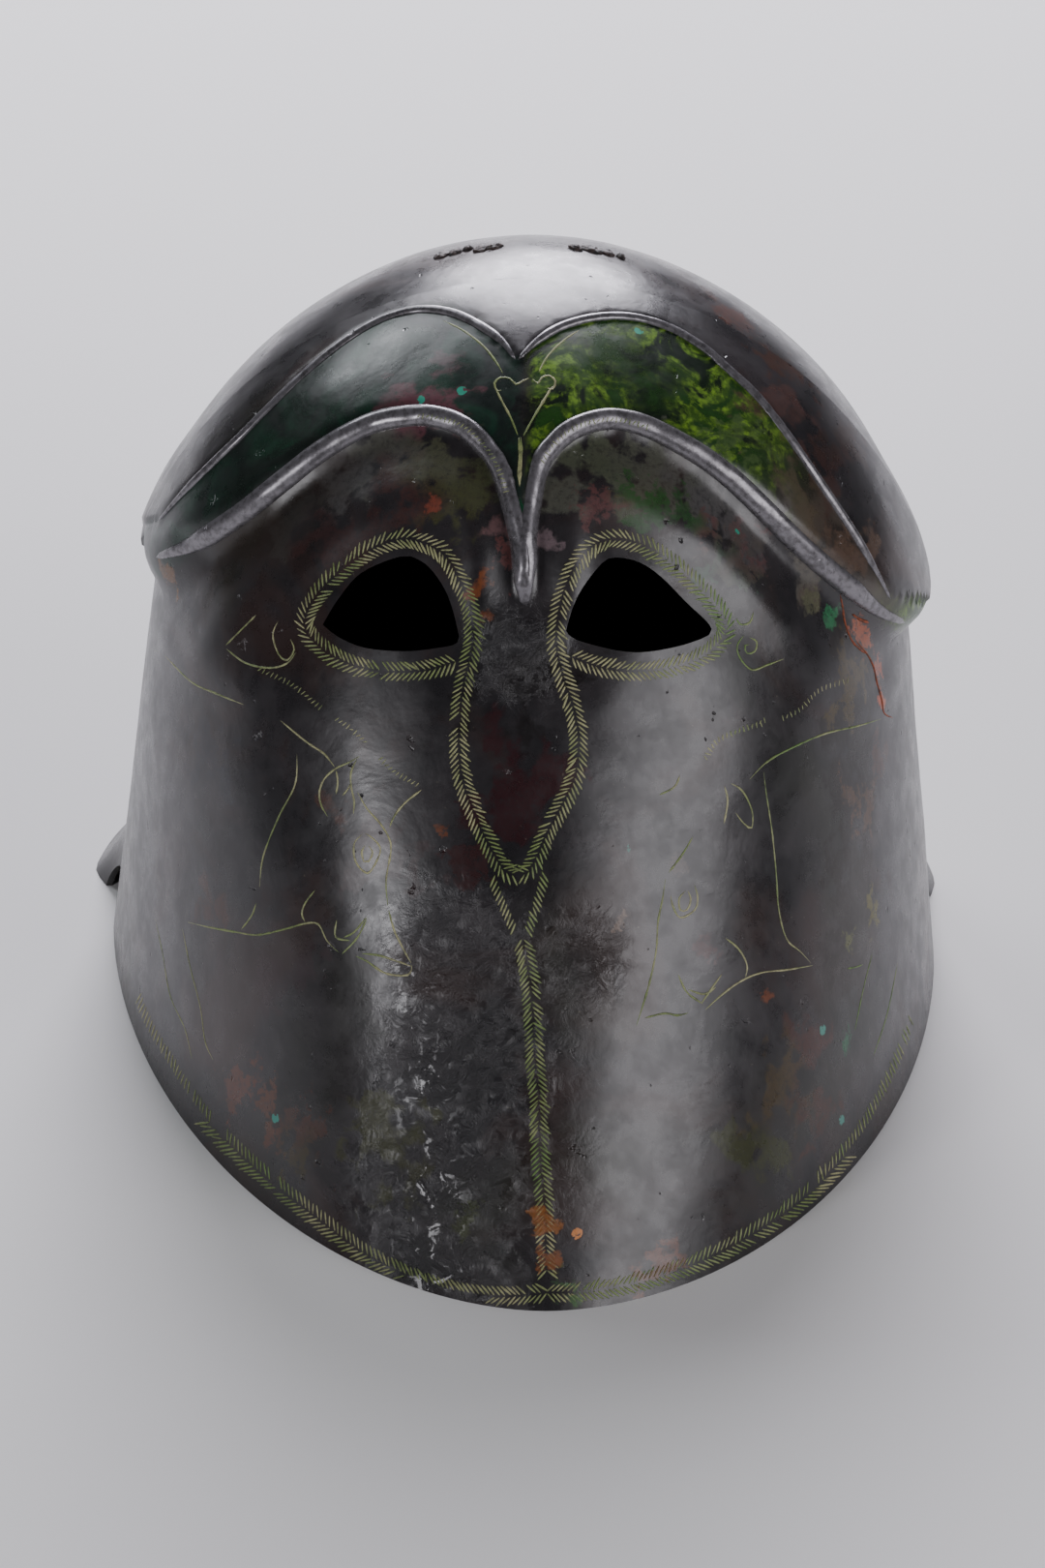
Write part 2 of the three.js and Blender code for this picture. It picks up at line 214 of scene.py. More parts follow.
@dataclass(frozen=True)
class HelmetForm:
    """The hammered form, in millimetres: stations run back from the chin and heights up from the rim."""

    wall: float = 1.5
    crown_station: float = 180.0
    crown_base: float = 98.0
    crown_rise: float = 95.0
    crown_half_width: float = 100.0
    crown_half_length: float = 95.0
    crown_power: float = 1.88
    mask_lean: float = 56.0
    rim_half_width: float = 107.5
    temple_half_width: float = 97.5
    chin_drift: float = 3.5
    nose_drift: float = -3.0
    rim_power: float = 1.87
    neck_power: float = 2.1
    neck_waist: float = 35.0
    neck_inset: float = 12.0
    neck_flare: float = 22.0
    left_corner_flare: float = 8.0
    right_corner_flare: float = 3.0
    notch_station: float = 194.0
    notch_radius: float = 7.0
    notch_height: float = 9.0
    temple_step: float = 2.5
    temple_bulge: float = 3.0
    step_band: float = 8.0
    fine_step_band: float = 4.5
    back_line: float = 104.0
    brow_hollow: float = 3.2
    brow_hollow_reach: float = 34.0
    fold_depth: float = 1.5  # the second, softer fold that follows the brow ribs below them
    fold_offset: float = 10.5
    fold_width: float = 4.6
    crown_stand: float = 0.8  # how far the crown stands out above the upper arches
    arch_softness: float = 0.8
    drawing_lean: float = 30.0
    forehead_bend: Point = (0.4, 0.65)  # shares of the crown's rise between which the mask turns into the crown
    back_zone: Point = (90.0, 150.0)  # degrees round from the nose
    face_edge: Point = (50.0, 95.0)
    temple_zone: Point = (10.0, 45.0)  # degrees to either side of the temple
    bulge_reach: float = 32.0
    hollow_aim: float = 0.8  # share of the crown's base at which the hollows are aimed
    rim_blend: float = 10.0
    halvings: int = 30
    brow_left: tuple[Point, ...] = (
        (-0.04, 0.925), (-0.046, 0.99), (-0.075, 1.05), (-0.13, 1.108), (-0.2, 1.138), (-0.3, 1.15),
        (-0.41, 1.14), (-0.52, 1.11), (-0.63, 1.065), (-0.745, 1.018), (-0.86, 0.98), (-0.97, 0.965),
    )
    brow_right: tuple[Point, ...] = (
        (-0.02, 0.925), (-0.018, 1.03), (0.005, 1.085), (0.05, 1.118), (0.12, 1.141), (0.2, 1.147),
        (0.3, 1.134), (0.42, 1.101), (0.52, 1.062), (0.63, 1.007), (0.74, 0.958), (0.86, 0.912), (0.96, 0.89),
    )
    arch_left: tuple[Point, ...] = (
        (-0.055, 1.224), (-0.093, 1.248), (-0.16, 1.274), (-0.225, 1.288), (-0.3, 1.292), (-0.38, 1.282),
        (-0.45, 1.263), (-0.6, 1.203), (-0.75, 1.12), (-0.9, 1.046), (-0.95, 1.014),
    )
    arch_right: tuple[Point, ...] = (
        (-0.05, 1.224), (-0.01, 1.245), (0.05, 1.267), (0.12, 1.28), (0.2, 1.285), (0.275, 1.282),
        (0.35, 1.268), (0.48, 1.217), (0.585, 1.167), (0.73, 1.064), (0.873, 0.954), (0.907, 0.923),
    )

    @property
    def top(self) -> float:
        """The height of the crown's top over the rim."""
        return self.crown_base + self.crown_rise

    def drawn(self, line: tuple[Point, ...]) -> np.ndarray:
        """Give a drawn line in millimetres across and up the leaning drawing plane."""
        return np.array([(a * self.crown_half_width, u * self.top) for a, u in line])

    def crown_share(self, height: np.ndarray, power: float = 2.0) -> np.ndarray:
        """Give the crown's share of its full breadth at a height."""
        over = np.clip((height - self.crown_base) / self.crown_rise, 0.0, 1.0)
        return np.maximum(0.0, 1.0 - over**power) ** (1.0 / power)

    def plan(self, angle: np.ndarray, height: np.ndarray, above: np.ndarray) -> tuple[np.ndarray, np.ndarray]:
        """Lay out the levels of the helmet without their relief.

        Args:
            angle: Round each level, 0 at the nose, positive to the right, pi at the back.
            height: Over the rim.
            above: 0 on the wall, 1 on the crown.

        Returns:
            How far across and at what station each point lies.
        """
        share = self.crown_share(height)
        over = (height - self.crown_base) / self.crown_rise
        waist = smooth(height, self.neck_waist, self.crown_base)
        wall = mix(self.rim_half_width, self.temple_half_width, height / self.crown_base)
        crown = self.crown_half_width * self.crown_share(height, self.crown_power)
        low = np.minimum(1.0, height / self.crown_base)
        mask = height / math.tan(math.radians(self.mask_lean))
        front = mix(mask, self.crown_station - self.crown_half_length * share, smooth(over, *self.forehead_bend))
        back = self.crown_station + self.crown_half_length * share - self.neck_inset * (1 - waist)
        half = mix(np.where(share < 1, np.minimum(wall, crown - self.temple_step), wall), crown, above)
        ahead = np.cos(angle) > 0
        power = np.where(ahead, mix(self.rim_power, 2.0, low), mix(self.neck_power, 2.0, low))
        depth = np.where(ahead, front, back) - self.crown_station
        side = np.sign(np.sin(angle)) * np.abs(np.sin(angle)) ** (2 / power)
        along = np.abs(np.cos(angle)) ** (2 / power)
        drift = mix(self.chin_drift, self.nose_drift, smooth(height, 0, self.crown_base)) * share
        return half * side + drift * np.maximum(0, np.cos(angle)), self.crown_station + depth * along

    def lean_up(self, station: np.ndarray, height: np.ndarray) -> np.ndarray:
        """Give the place up the leaning drawing plane of a station and height."""
        lean = math.radians(self.drawing_lean)
        return station * math.sin(lean) + height * math.cos(lean)

    def elevation(self, line: tuple[Point, ...]) -> np.ndarray:
        """Turn a drawn line into how far across and how high it lies, by halving the range.

        Args:
            line: The line, in shares of the crown's half width and of the whole height.

        Returns:
            One row for each of its points: millimetres across and over the rim.
        """
        drawn = self.drawn(line)
        low, high = np.zeros(len(drawn)), np.full(len(drawn), self.top)
        for _ in range(self.halvings):
            height = (low + high) / 2
            left, right = np.full(len(drawn), -math.pi / 2), np.full(len(drawn), math.pi / 2)
            for _ in range(self.halvings):
                angle = (left + right) / 2
                short = self.plan(angle, height, 0.5)[0] < drawn[:, 0]
                left, right = np.where(short, angle, left), np.where(short, right, angle)
            under = self.lean_up(self.plan(left, height, 0.5)[1], height) < drawn[:, 1]
            low, high = np.where(under, height, low), np.where(under, high, height)
        return np.stack([drawn[:, 0], low], axis=1)

    @staticmethod
    def over_line(line: np.ndarray, across: np.ndarray, up: np.ndarray) -> np.ndarray:
        """Measure how far each place lies above a line, or below it as a negative distance.

        Args:
            line: The line's points, one row each.
            across: The places' first coordinate.
            up: The places' second coordinate.

        Returns:
            The signed distance of each place.
        """
        nearest = np.full(np.shape(across), np.inf)
        for (ax, ay), (bx, by) in zip(line, line[1:]):
            dx, dy = bx - ax, by - ay
            share = np.clip(((across - ax) * dx + (up - ay) * dy) / (dx * dx + dy * dy), 0, 1)
            nearest = np.minimum(nearest, np.hypot(across - ax - share * dx, up - ay - share * dy))
        order = np.argsort(line[:, 0])
        return np.where(up > np.interp(across, line[order, 0], line[order, 1]), nearest, -nearest)

    def lines(self) -> dict[str, np.ndarray]:
        """Give the brow lines in elevation and the upper arches on the drawing plane."""
        return {
            "brow_left": self.elevation(self.brow_left),
            "brow_right": self.elevation(self.brow_right),
            "arch_left": self.drawn(self.arch_left),
            "arch_right": self.drawn(self.arch_right),
        }

    def face(self, angle: np.ndarray, height: np.ndarray) -> np.ndarray:
        """Hammer out the outer face with all its relief.

        Args:
            angle: Round each level, 0 at the nose, positive to the right, pi at the back.
            height: Over the rim.

        Returns:
            One row for each point: across, station and height.
        """
        lines = self.lines()
        across, station = self.plan(angle, height, 0.5)
        meeting = (lines["brow_left"][0, 0] + lines["brow_right"][0, 0]) / 2
        left = across < meeting
        behind = smooth(np.abs(angle), *np.radians(self.back_zone))
        temple = np.where(left, lines["brow_left"][-1, 1], lines["brow_right"][-1, 1])
        front = np.where(
            left,
            self.over_line(lines["brow_left"], across, height),
            self.over_line(lines["brow_right"], across, height),
        )
        rise = np.where(np.abs(angle) < math.pi / 2, front, height - mix(temple, self.back_line, behind))
        band = mix(self.fine_step_band, self.step_band, behind) / 2
        above = smooth(rise / band, -1, 1)
        across, station = self.plan(angle, height, above)

        out = np.stack([across, station - self.crown_station], axis=1)
        out /= np.maximum(np.linalg.norm(out, axis=1, keepdims=True), 1e-6)
        curl = np.maximum(0, 1 - height / self.neck_waist) ** 2
        guard_start = self.notch_station - self.notch_radius / 2
        guard = smooth(station, guard_start, self.notch_station + 2 * self.notch_radius)
        corner = np.where(angle < 0, self.left_corner_flare, self.right_corner_flare)
        flare = mix(corner, self.neck_flare, behind) * guard * curl
        beside = 1 - smooth(np.abs(np.abs(angle) - math.pi / 2), *np.radians(self.temple_zone))
        bulge = self.temple_bulge * beside * above * (1 - smooth(rise, 0, self.bulge_reach))
        across = across + out[:, 0] * (flare + bulge)
        station = station + out[:, 1] * (flare + bulge)

        facing = 1 - smooth(np.abs(angle), *np.radians(self.face_edge))
        hollow = self.brow_hollow * (1 - smooth(-rise, 0, self.brow_hollow_reach))
        fold = self.fold_depth * np.exp(-(((-rise - self.fold_offset) / self.fold_width) ** 2))
        up = self.lean_up(station, height)
        arch = np.where(
            left, self.over_line(lines["arch_left"], across, up), self.over_line(lines["arch_right"], across, up)
        )
        over_arch = smooth(arch, -self.arch_softness, self.arch_softness)
        stand = self.crown_stand * mix(over_arch, 1.0, behind) * above
        depth = (hollow - fold) * facing * (1 - above) - stand
        place = np.stack([across, station, height], axis=1)
        inward = np.array([0.0, self.crown_station, self.crown_base * self.hollow_aim]) - place
        inward /= np.maximum(np.linalg.norm(inward, axis=1, keepdims=True), 1e-6)
        inward[:, 2] *= smooth(height, 0, self.rim_blend)
        return place + inward * depth[:, None]


FORM = HelmetForm()


class Metal(Enum):
    """The places of the bronze that wear differently; on the ribs the pale lilac-grey is a painted highlight."""

    SHEET = "sheet"
    RIB = "rib"
    CHASED = "chased"
    ENGRAVED = "engraved"
    SCAR = "scar"


def new_piece(name: str, mesh: bpy.types.Mesh, material: bpy.types.Material) -> bpy.types.Object:
    """Put a finished mesh into the scene as a piece of the bronze.

    Args:
        name: The piece's name.
        mesh: Its mesh, already in place.
        material: Its finish.

    Returns:
        The new object.
    """
    piece = bpy.data.objects.new(name, mesh)
    mesh.materials.clear()
    mesh.materials.append(material)
    bpy.context.scene.collection.objects.link(piece)
    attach(piece, "root")
    LOG.info("%s: %d faces", name, len(mesh.polygons))
    return piece


def to_mesh(bm: bmesh.types.BMesh, name: str) -> bpy.types.Mesh:
    """Turn a finished bmesh into a smooth mesh and free it."""
    mesh = bpy.data.meshes.new(name)
    bm.to_mesh(mesh)
    bm.free()
    mesh.polygons.foreach_set("use_smooth", [True] * len(mesh.polygons))
    return mesh


def vertex_places(mesh: bpy.types.Mesh) -> np.ndarray:
    """Give the places of a mesh's vertices, one row each."""
    places = np.empty(len(mesh.vertices) * 3)
    mesh.vertices.foreach_get("co", places)
    return places.reshape(-1, 3)


def write_marks(mesh: bpy.types.Mesh, name: str, values: np.ndarray) -> None:
    """Keep a number or a colour for each vertex, for the finish to follow.

    Args:
        mesh: The mesh that is marked.
        name: The attribute's name.
        values: One number for each vertex, or one row of four.
    """
    kind, key = ("FLOAT_COLOR", "color") if values.ndim == 2 else ("FLOAT", "value")
    layer = mesh.attributes.new(name, kind, "POINT")
    layer.data.foreach_set(key, values.astype(np.float32).ravel())


def sweep(bm: bmesh.types.BMesh, sections: list[list[Vector]]) -> None:
    """Run a closed tube through rings of points and draw both its ends together.

    Args:
        bm: Where the tube is made.
        sections: The rings, all with the same number of points.
    """
    count = len(sections[0])
    ring = bmesh.ops.create_circle(bm, segments=count, radius=1.0)["verts"]
    edges = list({e for v in ring for e in v.link_edges})
    first = list(ring)
    for i, section in enumerate(sections):
        if i:
            grown = bmesh.ops.extrude_edge_only(bm, edges=edges)["geom"]
            edges = [g for g in grown if isinstance(g, bmesh.types.BMEdge)]
            fresh = [g for g in grown if isinstance(g, bmesh.types.BMVert)]
            ring = [min(fresh, key=lambda v, old=old: (v.co - old.co).length_squared) for old in ring]
        for vert, spot in zip(ring, section):
            vert.co = spot
    for end in (first, ring):
        middle = sum((v.co for v in end), Vector()) / count
        bmesh.ops.pointmerge(bm, verts=end, merge_co=middle)


@dataclass
class Sheet:
    """The hammered bronze sheet: crown, mask, cheeks and neck guard in one."""

    columns: int = 300
    rows: int = 138
    front_share: float = 0.72  # of the columns
    wall_share: float = 0.42  # of the rows
    dent_depth: float = 0.00022
    dent_fade: float = 0.01  # metres over the rim in which the dents come up
    crease_angle: float = 40.0
    plug_start: float = 0.11  # metres short of the point that the lens is aimed from
    plug_end: float = 0.012
    notch_bar: float = 0.3
    eye_left: tuple[Point, ...] = (
        (-50.9, 174.2), (-47, 171.1), (-40.2, 168.3), (-30.4, 167.4), (-22, 168.2), (-16.6, 169.6), (-16.7, 173.6),
        (-19.1, 181.7), (-22.9, 187.8), (-26.6, 190.8), (-31.2, 191.5), (-41, 187.4), (-47, 180.6),
    )
    eye_right: tuple[Point, ...] = (
        (11.1, 172.6), (12.4, 177.4), (15, 183.1), (20.2, 189.8), (23.8, 191.3), (30, 190), (35.5, 186.2),
        (41.4, 180.2), (48.2, 173), (42.9, 169.6), (32.3, 167.3), (24.2, 167.6), (13.5, 170.4),
    )

    def face_mesh(self) -> bpy.types.Mesh:
        """Make the outer face from a grid, wrapped round and closed at the crown.

        Returns:
            The face's mesh, with dents in it.
        """
        bm = bmesh.new()
        bmesh.ops.create_grid(bm, x_segments=self.columns, y_segments=self.rows, size=1.0)
        flat = np.array([v.co[:2] for v in bm.verts]) / 2 + 0.5
        edge = (1 - self.front_share) / 2
        angle = math.pi * np.interp(flat[:, 0], [0, edge, 1 - edge, 1], [-1, -0.5, 0.5, 1])
        low = FORM.crown_base * flat[:, 1] / self.wall_share
        climb = (flat[:, 1] - self.wall_share) / (1 - self.wall_share)
        high = FORM.crown_base + FORM.crown_rise * np.sin(np.clip(climb, 0, 1) * math.pi / 2)
        height = np.where(flat[:, 1] < self.wall_share, low, high)
        place = FORM.face(angle, height)
        for vert, (across, station, up) in zip(bm.verts, place):
            vert.co = (across * MM + MIDDLE_ACROSS * MM, station * MM + CHIN, up * MM)
        bmesh.ops.remove_doubles(bm, verts=bm.verts, dist=1e-6)
        bmesh.ops.recalc_face_normals(bm, faces=bm.faces)
        bm.normal_update()
        if max(bm.faces, key=lambda f: f.calc_center_median().z).normal.z < 0:
            bmesh.ops.reverse_faces(bm, faces=bm.faces)
            bm.normal_update()
        for vert in bm.verts:
            if vert.co.z > ON_RIM:
                fade = min(1.0, vert.co.z / self.dent_fade)
                beat = noise.noise(vert.co * 34) + 0.45 * noise.noise(vert.co * 95)
                vert.co += vert.normal * beat * self.dent_depth * fade
        return to_mesh(bm, "sheet_face")

    def eye_cutter(self, outline: tuple[Point, ...]) -> bpy.types.Mesh:
        """Make the plug that cuts an eye hole, run along the picture's rays.

        Args:
            outline: The hole's outline on the picture plane.

        Returns:
            The plug's closed mesh.
        """
        bm = bmesh.new()
        loop = flowing([*outline, outline[0]], 2.0)[:-1]
        near, far = PICTURE.distance - self.plug_start, PICTURE.distance - self.plug_end
        rays = [PICTURE.ray(a, u) for a, u in loop]
        front = [bm.verts.new(start + way * near) for start, way in rays]
        face = bm.faces.new(front)
        grown = bmesh.ops.extrude_face_region(bm, geom=[face])
        deep = [v for v in grown["geom"] if isinstance(v, bmesh.types.BMVert)]
        for vert in deep:
            start, _ = rays[0]
            vert.co = start + (vert.co - start).normalized() * far
        bmesh.ops.recalc_face_normals(bm, faces=bm.faces)
        return to_mesh(bm, "eye_cutter")

    def notch_cutter(self) -> bpy.types.Mesh:
        """Make the round bar that cuts the notch between cheek and neck guard on both sides.

        Returns:
            The bar's closed mesh.
        """
        bm = bmesh.new()
        place = Vector((0, CHIN + FORM.notch_station * MM, (FORM.notch_height - FORM.notch_radius) * MM))
        bmesh.ops.create_cone(
            bm,
            cap_ends=True,
            segments=48,
            radius1=FORM.notch_radius * MM,
            radius2=FORM.notch_radius * MM,
            depth=self.notch_bar,
            matrix=Matrix.Translation(place) @ Matrix.Rotation(math.pi / 2, 4, "Y"),
        )
        return to_mesh(bm, "notch_cutter")

    def build(self, material: bpy.types.Material) -> bpy.types.Object:
        """Thicken the face into a wall, flatten the rim and cut the eyes and notches.

        Args:
            material: The sheet's finish.

        Returns:
            The finished sheet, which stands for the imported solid.
        """
        face = self.face_mesh()
        count = len(face.vertices)
        on_rim = [i for i, v in enumerate(face.vertices) if v.co.z < ON_RIM]
        work = bpy.data.objects.new("sheet_work", face)
        bpy.context.scene.collection.objects.link(work)
        wall = work.modifiers.new("wall", "SOLIDIFY")
        wall.thickness = FORM.wall * MM
        wall.offset = -1.0
        wall.use_even_offset = True
        work.data = self.settled(work)
        for i in on_rim:
            work.data.vertices[count + i].co.z = 0.0
        cutters = [self.eye_cutter(self.eye_left), self.eye_cutter(self.eye_right), self.notch_cutter()]
        helpers = []
        for mesh in cutters:
            helper = bpy.data.objects.new(mesh.name, mesh)
            bpy.context.scene.collection.objects.link(helper)
            cut = work.modifiers.new("cut", "BOOLEAN")
            cut.operation = "DIFFERENCE"
            cut.solver = "EXACT"
            cut.object = helper
            helpers.append(helper)
        mesh = self.settled(work)
        for thing in [work, *helpers]:
            bpy.data.objects.remove(thing)
        mesh.name = "sheet"
        mesh.polygons.foreach_set("use_smooth", [True] * len(mesh.polygons))
        mesh.set_sharp_from_angle(angle=math.radians(self.crease_angle))
        self.mark(mesh)
        piece = new_piece("bronze_sheet", mesh, material)
        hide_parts(SHELL_NODE)
        return piece

    @staticmethod
    def settled(work: bpy.types.Object) -> bpy.types.Mesh:
        """Give the mesh that an object's modifiers make, and clear them.

        Args:
            work: The object, which loses its modifiers.

        Returns:
            The new mesh.
        """
        graph = bpy.context.evaluated_depsgraph_get()
        mesh = bpy.data.meshes.new_from_object(work.evaluated_get(graph))
        work.modifiers.clear()
        return mesh

    @staticmethod
    def mark(mesh: bpy.types.Mesh) -> None:
        """Write where the forehead band lies, left and right, for the patina to follow.

        Args:
            mesh: The sheet's mesh.
        """
        spots = vertex_places(mesh)
        across = spots[:, 0] / MM - MIDDLE_ACROSS
        station = (spots[:, 1] - CHIN) / MM
        height = spots[:, 2] / MM
        up = FORM.lean_up(station, height)
        lines = FORM.lines()
        ahead = 1 - smooth(station, FORM.crown_station - 8, FORM.crown_station + 8)
        for side, name in ((-1, "left"), (1, "right")):
            under_arch = smooth(-FORM.over_line(lines[f"arch_{name}"], across, up), -0.6, 0.6)
            over_brow = smooth(FORM.over_line(lines[f"brow_{name}"], across, height), -0.6, 0.6)
            middle = lines[f"brow_{name}"][0, 0]
            own = smooth(side * (across - middle), -2.0, 2.0)
            write_marks(mesh, f"band_{name}", under_arch * over_brow * own * ahead)


@dataclass(frozen=True)
class Finder:
    """Finds where the places of the drawing lie on the bronze."""

    tree: BVHTree

    @classmethod
    def over(cls, pieces: list[bpy.types.Object]) -> "Finder":
        """Index the faces of some pieces.

        Args:
            pieces: The pieces that carry the drawing.

        Returns:
            What finds places on them.
        """
        bm = bmesh.new()
        for piece in pieces:
            bm.from_mesh(piece.data)
        tree = BVHTree.FromBMesh(bm)
        bm.free()
        return cls(tree)

    def place(self, across: float, up: float) -> tuple[Vector, Vector] | None:
        """Find where a place of the drawing lies on the bronze.

        Args:
            across: Millimetres across the picture plane.
            up: Millimetres up it.

        Returns:
            The point and the outward normal, or None where the drawing runs off the bronze.
        """
        start, way = PICTURE.ray(across, up)
        spot, normal, _, _ = self.tree.ray_cast(start, way)
        if spot is None:
            return None
        return spot, (normal if normal.dot(way) < 0 else -normal)

    def along(self, points: list[Point], step: float) -> list[tuple[Vector, Vector]]:
        """Find the places of a flowing line, without those that run off the bronze."""
        return [spot for spot in (self.place(*p) for p in flowing(points, step)) if spot]


@dataclass
class Engraver:
    """Lays lines and punch strokes on the bronze where the picture plane shows them."""

    finder: Finder
    bm: bmesh.types.BMesh = field(default_factory=bmesh.new)
    taper: Point = (0.12, 5.0)  # a line's share of its breadth at its end, and how fast it grows from there
    unevenness: float = 0.55
    sink: float = 0.0001  # how far a line reaches into the bronze
    step: float = 1.0  # millimetres between a line's sections
    longest: float = 2.2  # times its drawn length; a stroke that comes out longer straddles an edge

    def line(self, points: list[Point], width: float, height: float) -> None:
        """Lay one engraved line, drawn out thin at both ends.

        Args:
            points: The drawn points, in millimetres.
            width: The line's breadth.
            height: How far it stands out.
        """
        spots = self.finder.along(points, self.step)
        if len(spots) < 3:
            return
        end, growth = self.taper
        sections = []
        for i, (spot, normal) in enumerate(spots):
            ahead = spots[min(i + 1, len(spots) - 1)][0] - spots[max(i - 1, 0)][0]
            side = normal.cross(ahead).normalized()
            share = i / (len(spots) - 1)
            size = min(1.0, end + growth * min(share, 1 - share)) * (1 + self.unevenness * noise.noise(spot * 700))
            half = side * width / 2 * size
            sections.append([spot + half, spot + normal * height * size, spot - half, spot - normal * self.sink])
        sweep(self.bm, sections)

    def stroke(self, place: Point, way: Point, length: float, width: float, height: float) -> None:
        """Lay one short punched stroke, thick in the middle.

        Args:
            place: The stroke's middle on the picture plane.
            way: Its unit direction there.
            length: Millimetres from end to end.
            width: Its breadth in millimetres.
            height: How far it stands out, in millimetres.
        """
        half = length / 2
        ends = [self.finder.place(place[0] + way[0] * s, place[1] + way[1] * s) for s in (-half, half)]
        middle = self.finder.place(*place)
        if not middle or not all(ends):
            return
        along = ends[1][0] - ends[0][0]
        if along.length > self.longest * length * MM:
            return
        side = middle[1].cross(along).normalized()
        up = along.normalized().cross(side)
        lie = Matrix((along / 2, side * width / 2 * MM, up * height * MM)).transposed().to_4x4()
        lie.translation = middle[0]
        lie @= Matrix.Rotation(math.pi / 2, 4, "Y")
        bmesh.ops.create_uvsphere(self.bm, u_segments=6, v_segments=4, radius=1.0, matrix=lie)

    def finish(self, name: str, material: bpy.types.Material) -> bpy.types.Object:
        """Turn all that was laid into one piece."""
        bmesh.ops.recalc_face_normals(self.bm, faces=self.bm.faces)
        return new_piece(name, to_mesh(self.bm, name), material)


@dataclass
class BrowRibs:
    """The raised double arches: the stout ribs over the brow and the thin ones on the crown."""

    brow_radius: float = 2.8
    flatness: float = 0.62  # a rib's height over half its breadth
    sides: int = 14
    step: float = 1.4  # millimetres between a rib's sections
    tapers: tuple[Point, Point] = ((0.35, 9.0), (0.25, 7.0))  # share of its breadth at each end, and the growth
    arch_radius: float = 1.2
    brow_left: tuple[Point, ...] = (
        (0.5, 179.0), (-0.2, 187.0), (-1.0, 196.0), (-3.7, 207.0), (-5.6, 213.5), (-9.4, 219.4), (-15.3, 224.8),
        (-22.9, 227.3), (-30.3, 227.2), (-38.0, 225.6), (-45.5, 222.0), (-53.0, 217.2), (-60.6, 211.2),
        (-72.0, 202.2), (-83.3, 195.0), (-93.4, 191.3),
    )
    brow_right: tuple[Point, ...] = (
        (0.9, 179.0), (1.0, 188.0), (1.7, 199.0), (4.3, 214.0), (7.6, 219.6), (12.8, 224.0), (20.2, 226.4),
        (26.4, 226.2), (32.3, 224.4), (39.2, 221.0), (46.8, 216.4), (54.2, 210.6), (61.9, 203.2), (69.3, 195.8),
        (76.9, 189.0), (84.5, 182.8), (91.0, 177.6), (97.5, 174.6),
    )
    arch_left: tuple[Point, ...] = (
        (-1.7, 241.6), (-5.4, 246.5), (-12.3, 251.2), (-19.0, 253.9), (-26.6, 254.5), (-34.3, 252.7), (-41.7, 249.0),
        (-49.3, 243.6), (-56.7, 237.2), (-64.3, 229.8), (-72.0, 222.0), (-79.4, 214.9), (-87.0, 207.2), (-93.0, 200.4),
    )
    arch_right: tuple[Point, ...] = (
        (-1.2, 241.6), (3.0, 245.8), (9.0, 249.7), (16.5, 252.1), (24.2, 252.8), (31.6, 251.8), (39.2, 249.0),
        (46.8, 244.3), (52.0, 239.6), (58.0, 234.2), (62.6, 229.0), (69.3, 220.0), (76.9, 208.8), (84.5, 197.4),
        (90.5, 187.0), (93.8, 180.6),
    )

    def rib(self, name: str, points: tuple[Point, ...], radius: float, finder: Finder) -> bpy.types.Mesh:
        """Sweep one half-sunk round rib along a drawn line.

        Args:
            name: The mesh's name.
            points: The line on the picture plane.
            radius: Half the rib's breadth, in millimetres.
            finder: What finds its places on the sheet.

        Returns:
            The rib's closed mesh.
        """
        spots = finder.along(list(points), self.step)
        corners = [Vector((-math.sin(t), math.cos(t))) for t in np.linspace(0, 2 * math.pi, self.sides, endpoint=False)]
        (start, growth), (end, fall) = self.tapers
        sections = []
        for i, (spot, normal) in enumerate(spots):
            ahead = spots[min(i + 2, len(spots) - 1)][0] - spots[max(i - 2, 0)][0]
            side = normal.cross(ahead).normalized()
            share = i / (len(spots) - 1)
            size = radius * MM * min(1.0, start + growth * share, end + fall * (1 - share))
            high = normal * self.flatness
            sections.append([spot + (side * corner.x + high * corner.y) * size for corner in corners])
        bm = bmesh.new()
        sweep(bm, sections)
        bmesh.ops.recalc_face_normals(bm, faces=bm.faces)
        return to_mesh(bm, name)

    def build(self, finder: Finder, material: bpy.types.Material) -> list[bpy.types.Object]:
        """Lay all four ribs on the sheet.

        Args:
            finder: What finds their places on the sheet.
            material: Their finish.

        Returns:
            The ribs.
        """
        plans = (
            ("brow_rib_left", self.brow_left, self.brow_radius),
            ("brow_rib_right", self.brow_right, self.brow_radius),
            ("arch_rib_left", self.arch_left, self.arch_radius),
            ("arch_rib_right", self.arch_right, self.arch_radius),
        )
        return [new_piece(name, self.rib(name, points, radius, finder), material) for name, points, radius in plans]


